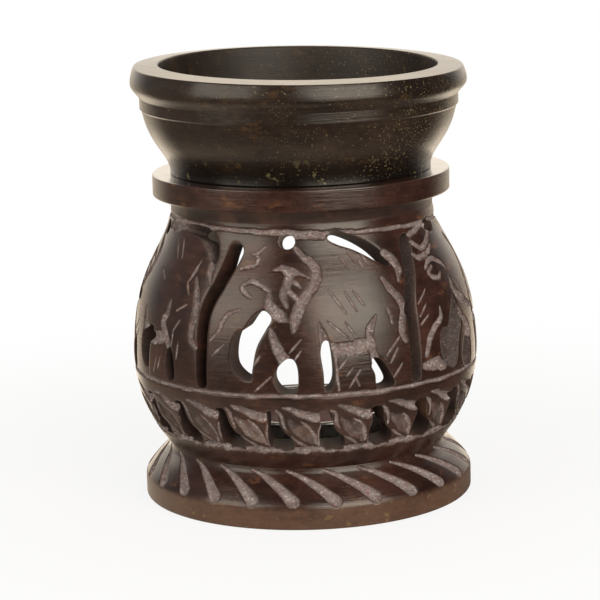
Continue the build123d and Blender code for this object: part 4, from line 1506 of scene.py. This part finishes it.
def pale_floor():
    """White as the camera sees it, a little darker near the object. Polished stone mirrors a dim cream
    floor: its glow is 0.06 + 0.38 close to the object + 0.19 to the left + 1.8 behind. Other rays find white
    paint."""
    material, tree = new_finish("pale_floor")
    place = tree.add("ShaderNodeTexCoord", output=3)
    x, y, _ = place.parts()
    spread = tree.add("ShaderNodeVectorMath", {"operation": "LENGTH"}, {0: place}, output=1)
    rightwards = (x / spread).between(0.20, 0.90)
    leftwards = 1 - (x / spread).between(-0.95, -0.50)
    behind = (y / spread).between(0.42, 0.88) * (1 - spread.between(0.20, 0.42) * 0.5)
    close = (1 - spread.between(0.06, 0.16)) * (1 - rightwards * 0.55)
    near_object = 1 - spread.between(0.05, 0.22)
    seen, mirrored = tree.rays()
    glow = seen + mirrored * (1 - seen) * (0.06 + close * 0.38 + leftwards * 0.19 + behind * 1.8)
    cream = tree.mix(mirrored, (1.0, 1.0, 1.0), (1.0, 0.84, 0.65))
    lit = tree.add("ShaderNodeVectorMath", {"operation": "SCALE"}, {0: cream, "Scale": glow})
    white = tree.add("ShaderNodeEmission", {}, {"Color": lit, "Strength": 1.0})
    painted = tree.add("ShaderNodeBsdfDiffuse", {}, {"Color": (0.86, 0.86, 0.85, 1)})
    share = (seen + mirrored * (1 - seen)) * (1 - near_object * seen * 0.16)
    surface = tree.add("ShaderNodeMixShader", {}, {0: share, 1: painted, 2: white})
    tree.add("ShaderNodeOutputMaterial", {}, {"Surface": surface})
    return material


def studio():
    """White as the camera sees it. Polished stone mirrors a studio that is dim in front, with a cream
    backdrop: its glow is 0.05 + 0.17 to the left + 1.65 backdrop. Other rays find a soft even light."""
    world = bpy.data.worlds.new("studio")
    tree = Tree(world)
    x, y, z = tree.add("ShaderNodeTexCoord", output=0).parts()
    leftwards = 1 - x.between(-0.95, -0.50)
    aside = (x * x).between(0.10, 0.60)
    rising = z.between(0.18, 0.42)
    overhead = z.between(0.35, 0.9)
    backdrop = y.between(0.48, 0.90) * (1 - overhead * 0.80) * (0.74 + rising * 0.85) * (1 - aside * 0.50)
    soft = 0.35 + y.between(0.0, 1.0) * 0.20
    seen, mirrored = tree.rays()
    level = mirrored * (0.05 + leftwards * 0.17 + backdrop * 1.65) + (1 - mirrored) * soft
    tint = tree.mix(mirrored * backdrop, (1.0, 0.985, 0.96), (1.0, 0.87, 0.70))
    background = tree.add("ShaderNodeBackground", {}, {"Color": tint, "Strength": seen + (1 - seen) * level})
    tree.add("ShaderNodeOutputWorld", {}, {"Surface": background})
    return world


floor_mesh.materials.append(pale_floor())
bpy.context.scene.world = studio()
lamp_colour = (1.0, 0.92, 0.77)
burner_middle = Vector((0, 0, 0.05))


def soft_box(name, turn, lift, distance, width, height, power):
    """An area lamp at an angle from the front and above the horizon, facing the middle of the burner."""
    lamp = bpy.data.lights.new(name, "AREA")
    lamp.shape = "RECTANGLE"
    lamp.size = width
    lamp.size_y = height
    lamp.energy = power
    lamp.color = lamp_colour
    holder = new_object(name, lamp)
    level_way = Vector((sin(radians(turn)), -cos(radians(turn)), 0)) * cos(radians(lift))
    away = level_way + Vector((0, 0, sin(radians(lift))))
    holder.location = burner_middle + away * distance
    holder.rotation_euler = away.to_track_quat("Z", "Y").to_euler()


soft_box("key_box", turn=31, lift=23, distance=0.75, width=0.66, height=0.60, power=4.7)
soft_box("side_box", turn=-53, lift=24, distance=0.80, width=0.62, height=0.56, power=2.5)
soft_box("top_box", turn=0, lift=102, distance=0.90, width=0.60, height=0.60, power=1.2)

camera_place = Vector((-0.957, -536.6, 151.3)) * MM
camera_pitch = radians(11.27)
camera_roll = radians(-1.56)
focal_pixels = 2347.6
picture_pixels = 600
sensor_width = 36
camera_data = bpy.data.cameras.new("camera")
camera_data.sensor_width = sensor_width
camera_data.lens = focal_pixels / picture_pixels * sensor_width
camera = new_object("camera", camera_data)
forwards = Vector((0, cos(camera_pitch), -sin(camera_pitch)))
upright = Vector((0, sin(camera_pitch), cos(camera_pitch)))
sideways = Vector((1, 0, 0))
image_right = sideways * cos(camera_roll) + upright * sin(camera_roll)
image_up = upright * cos(camera_roll) - sideways * sin(camera_roll)
turning = Matrix((image_right, image_up, -forwards)).transposed()
camera.matrix_world = Matrix.Translation(camera_place) @ turning.to_4x4()
bpy.context.scene.camera = camera
bpy.context.scene.view_settings.view_transform = "Standard"
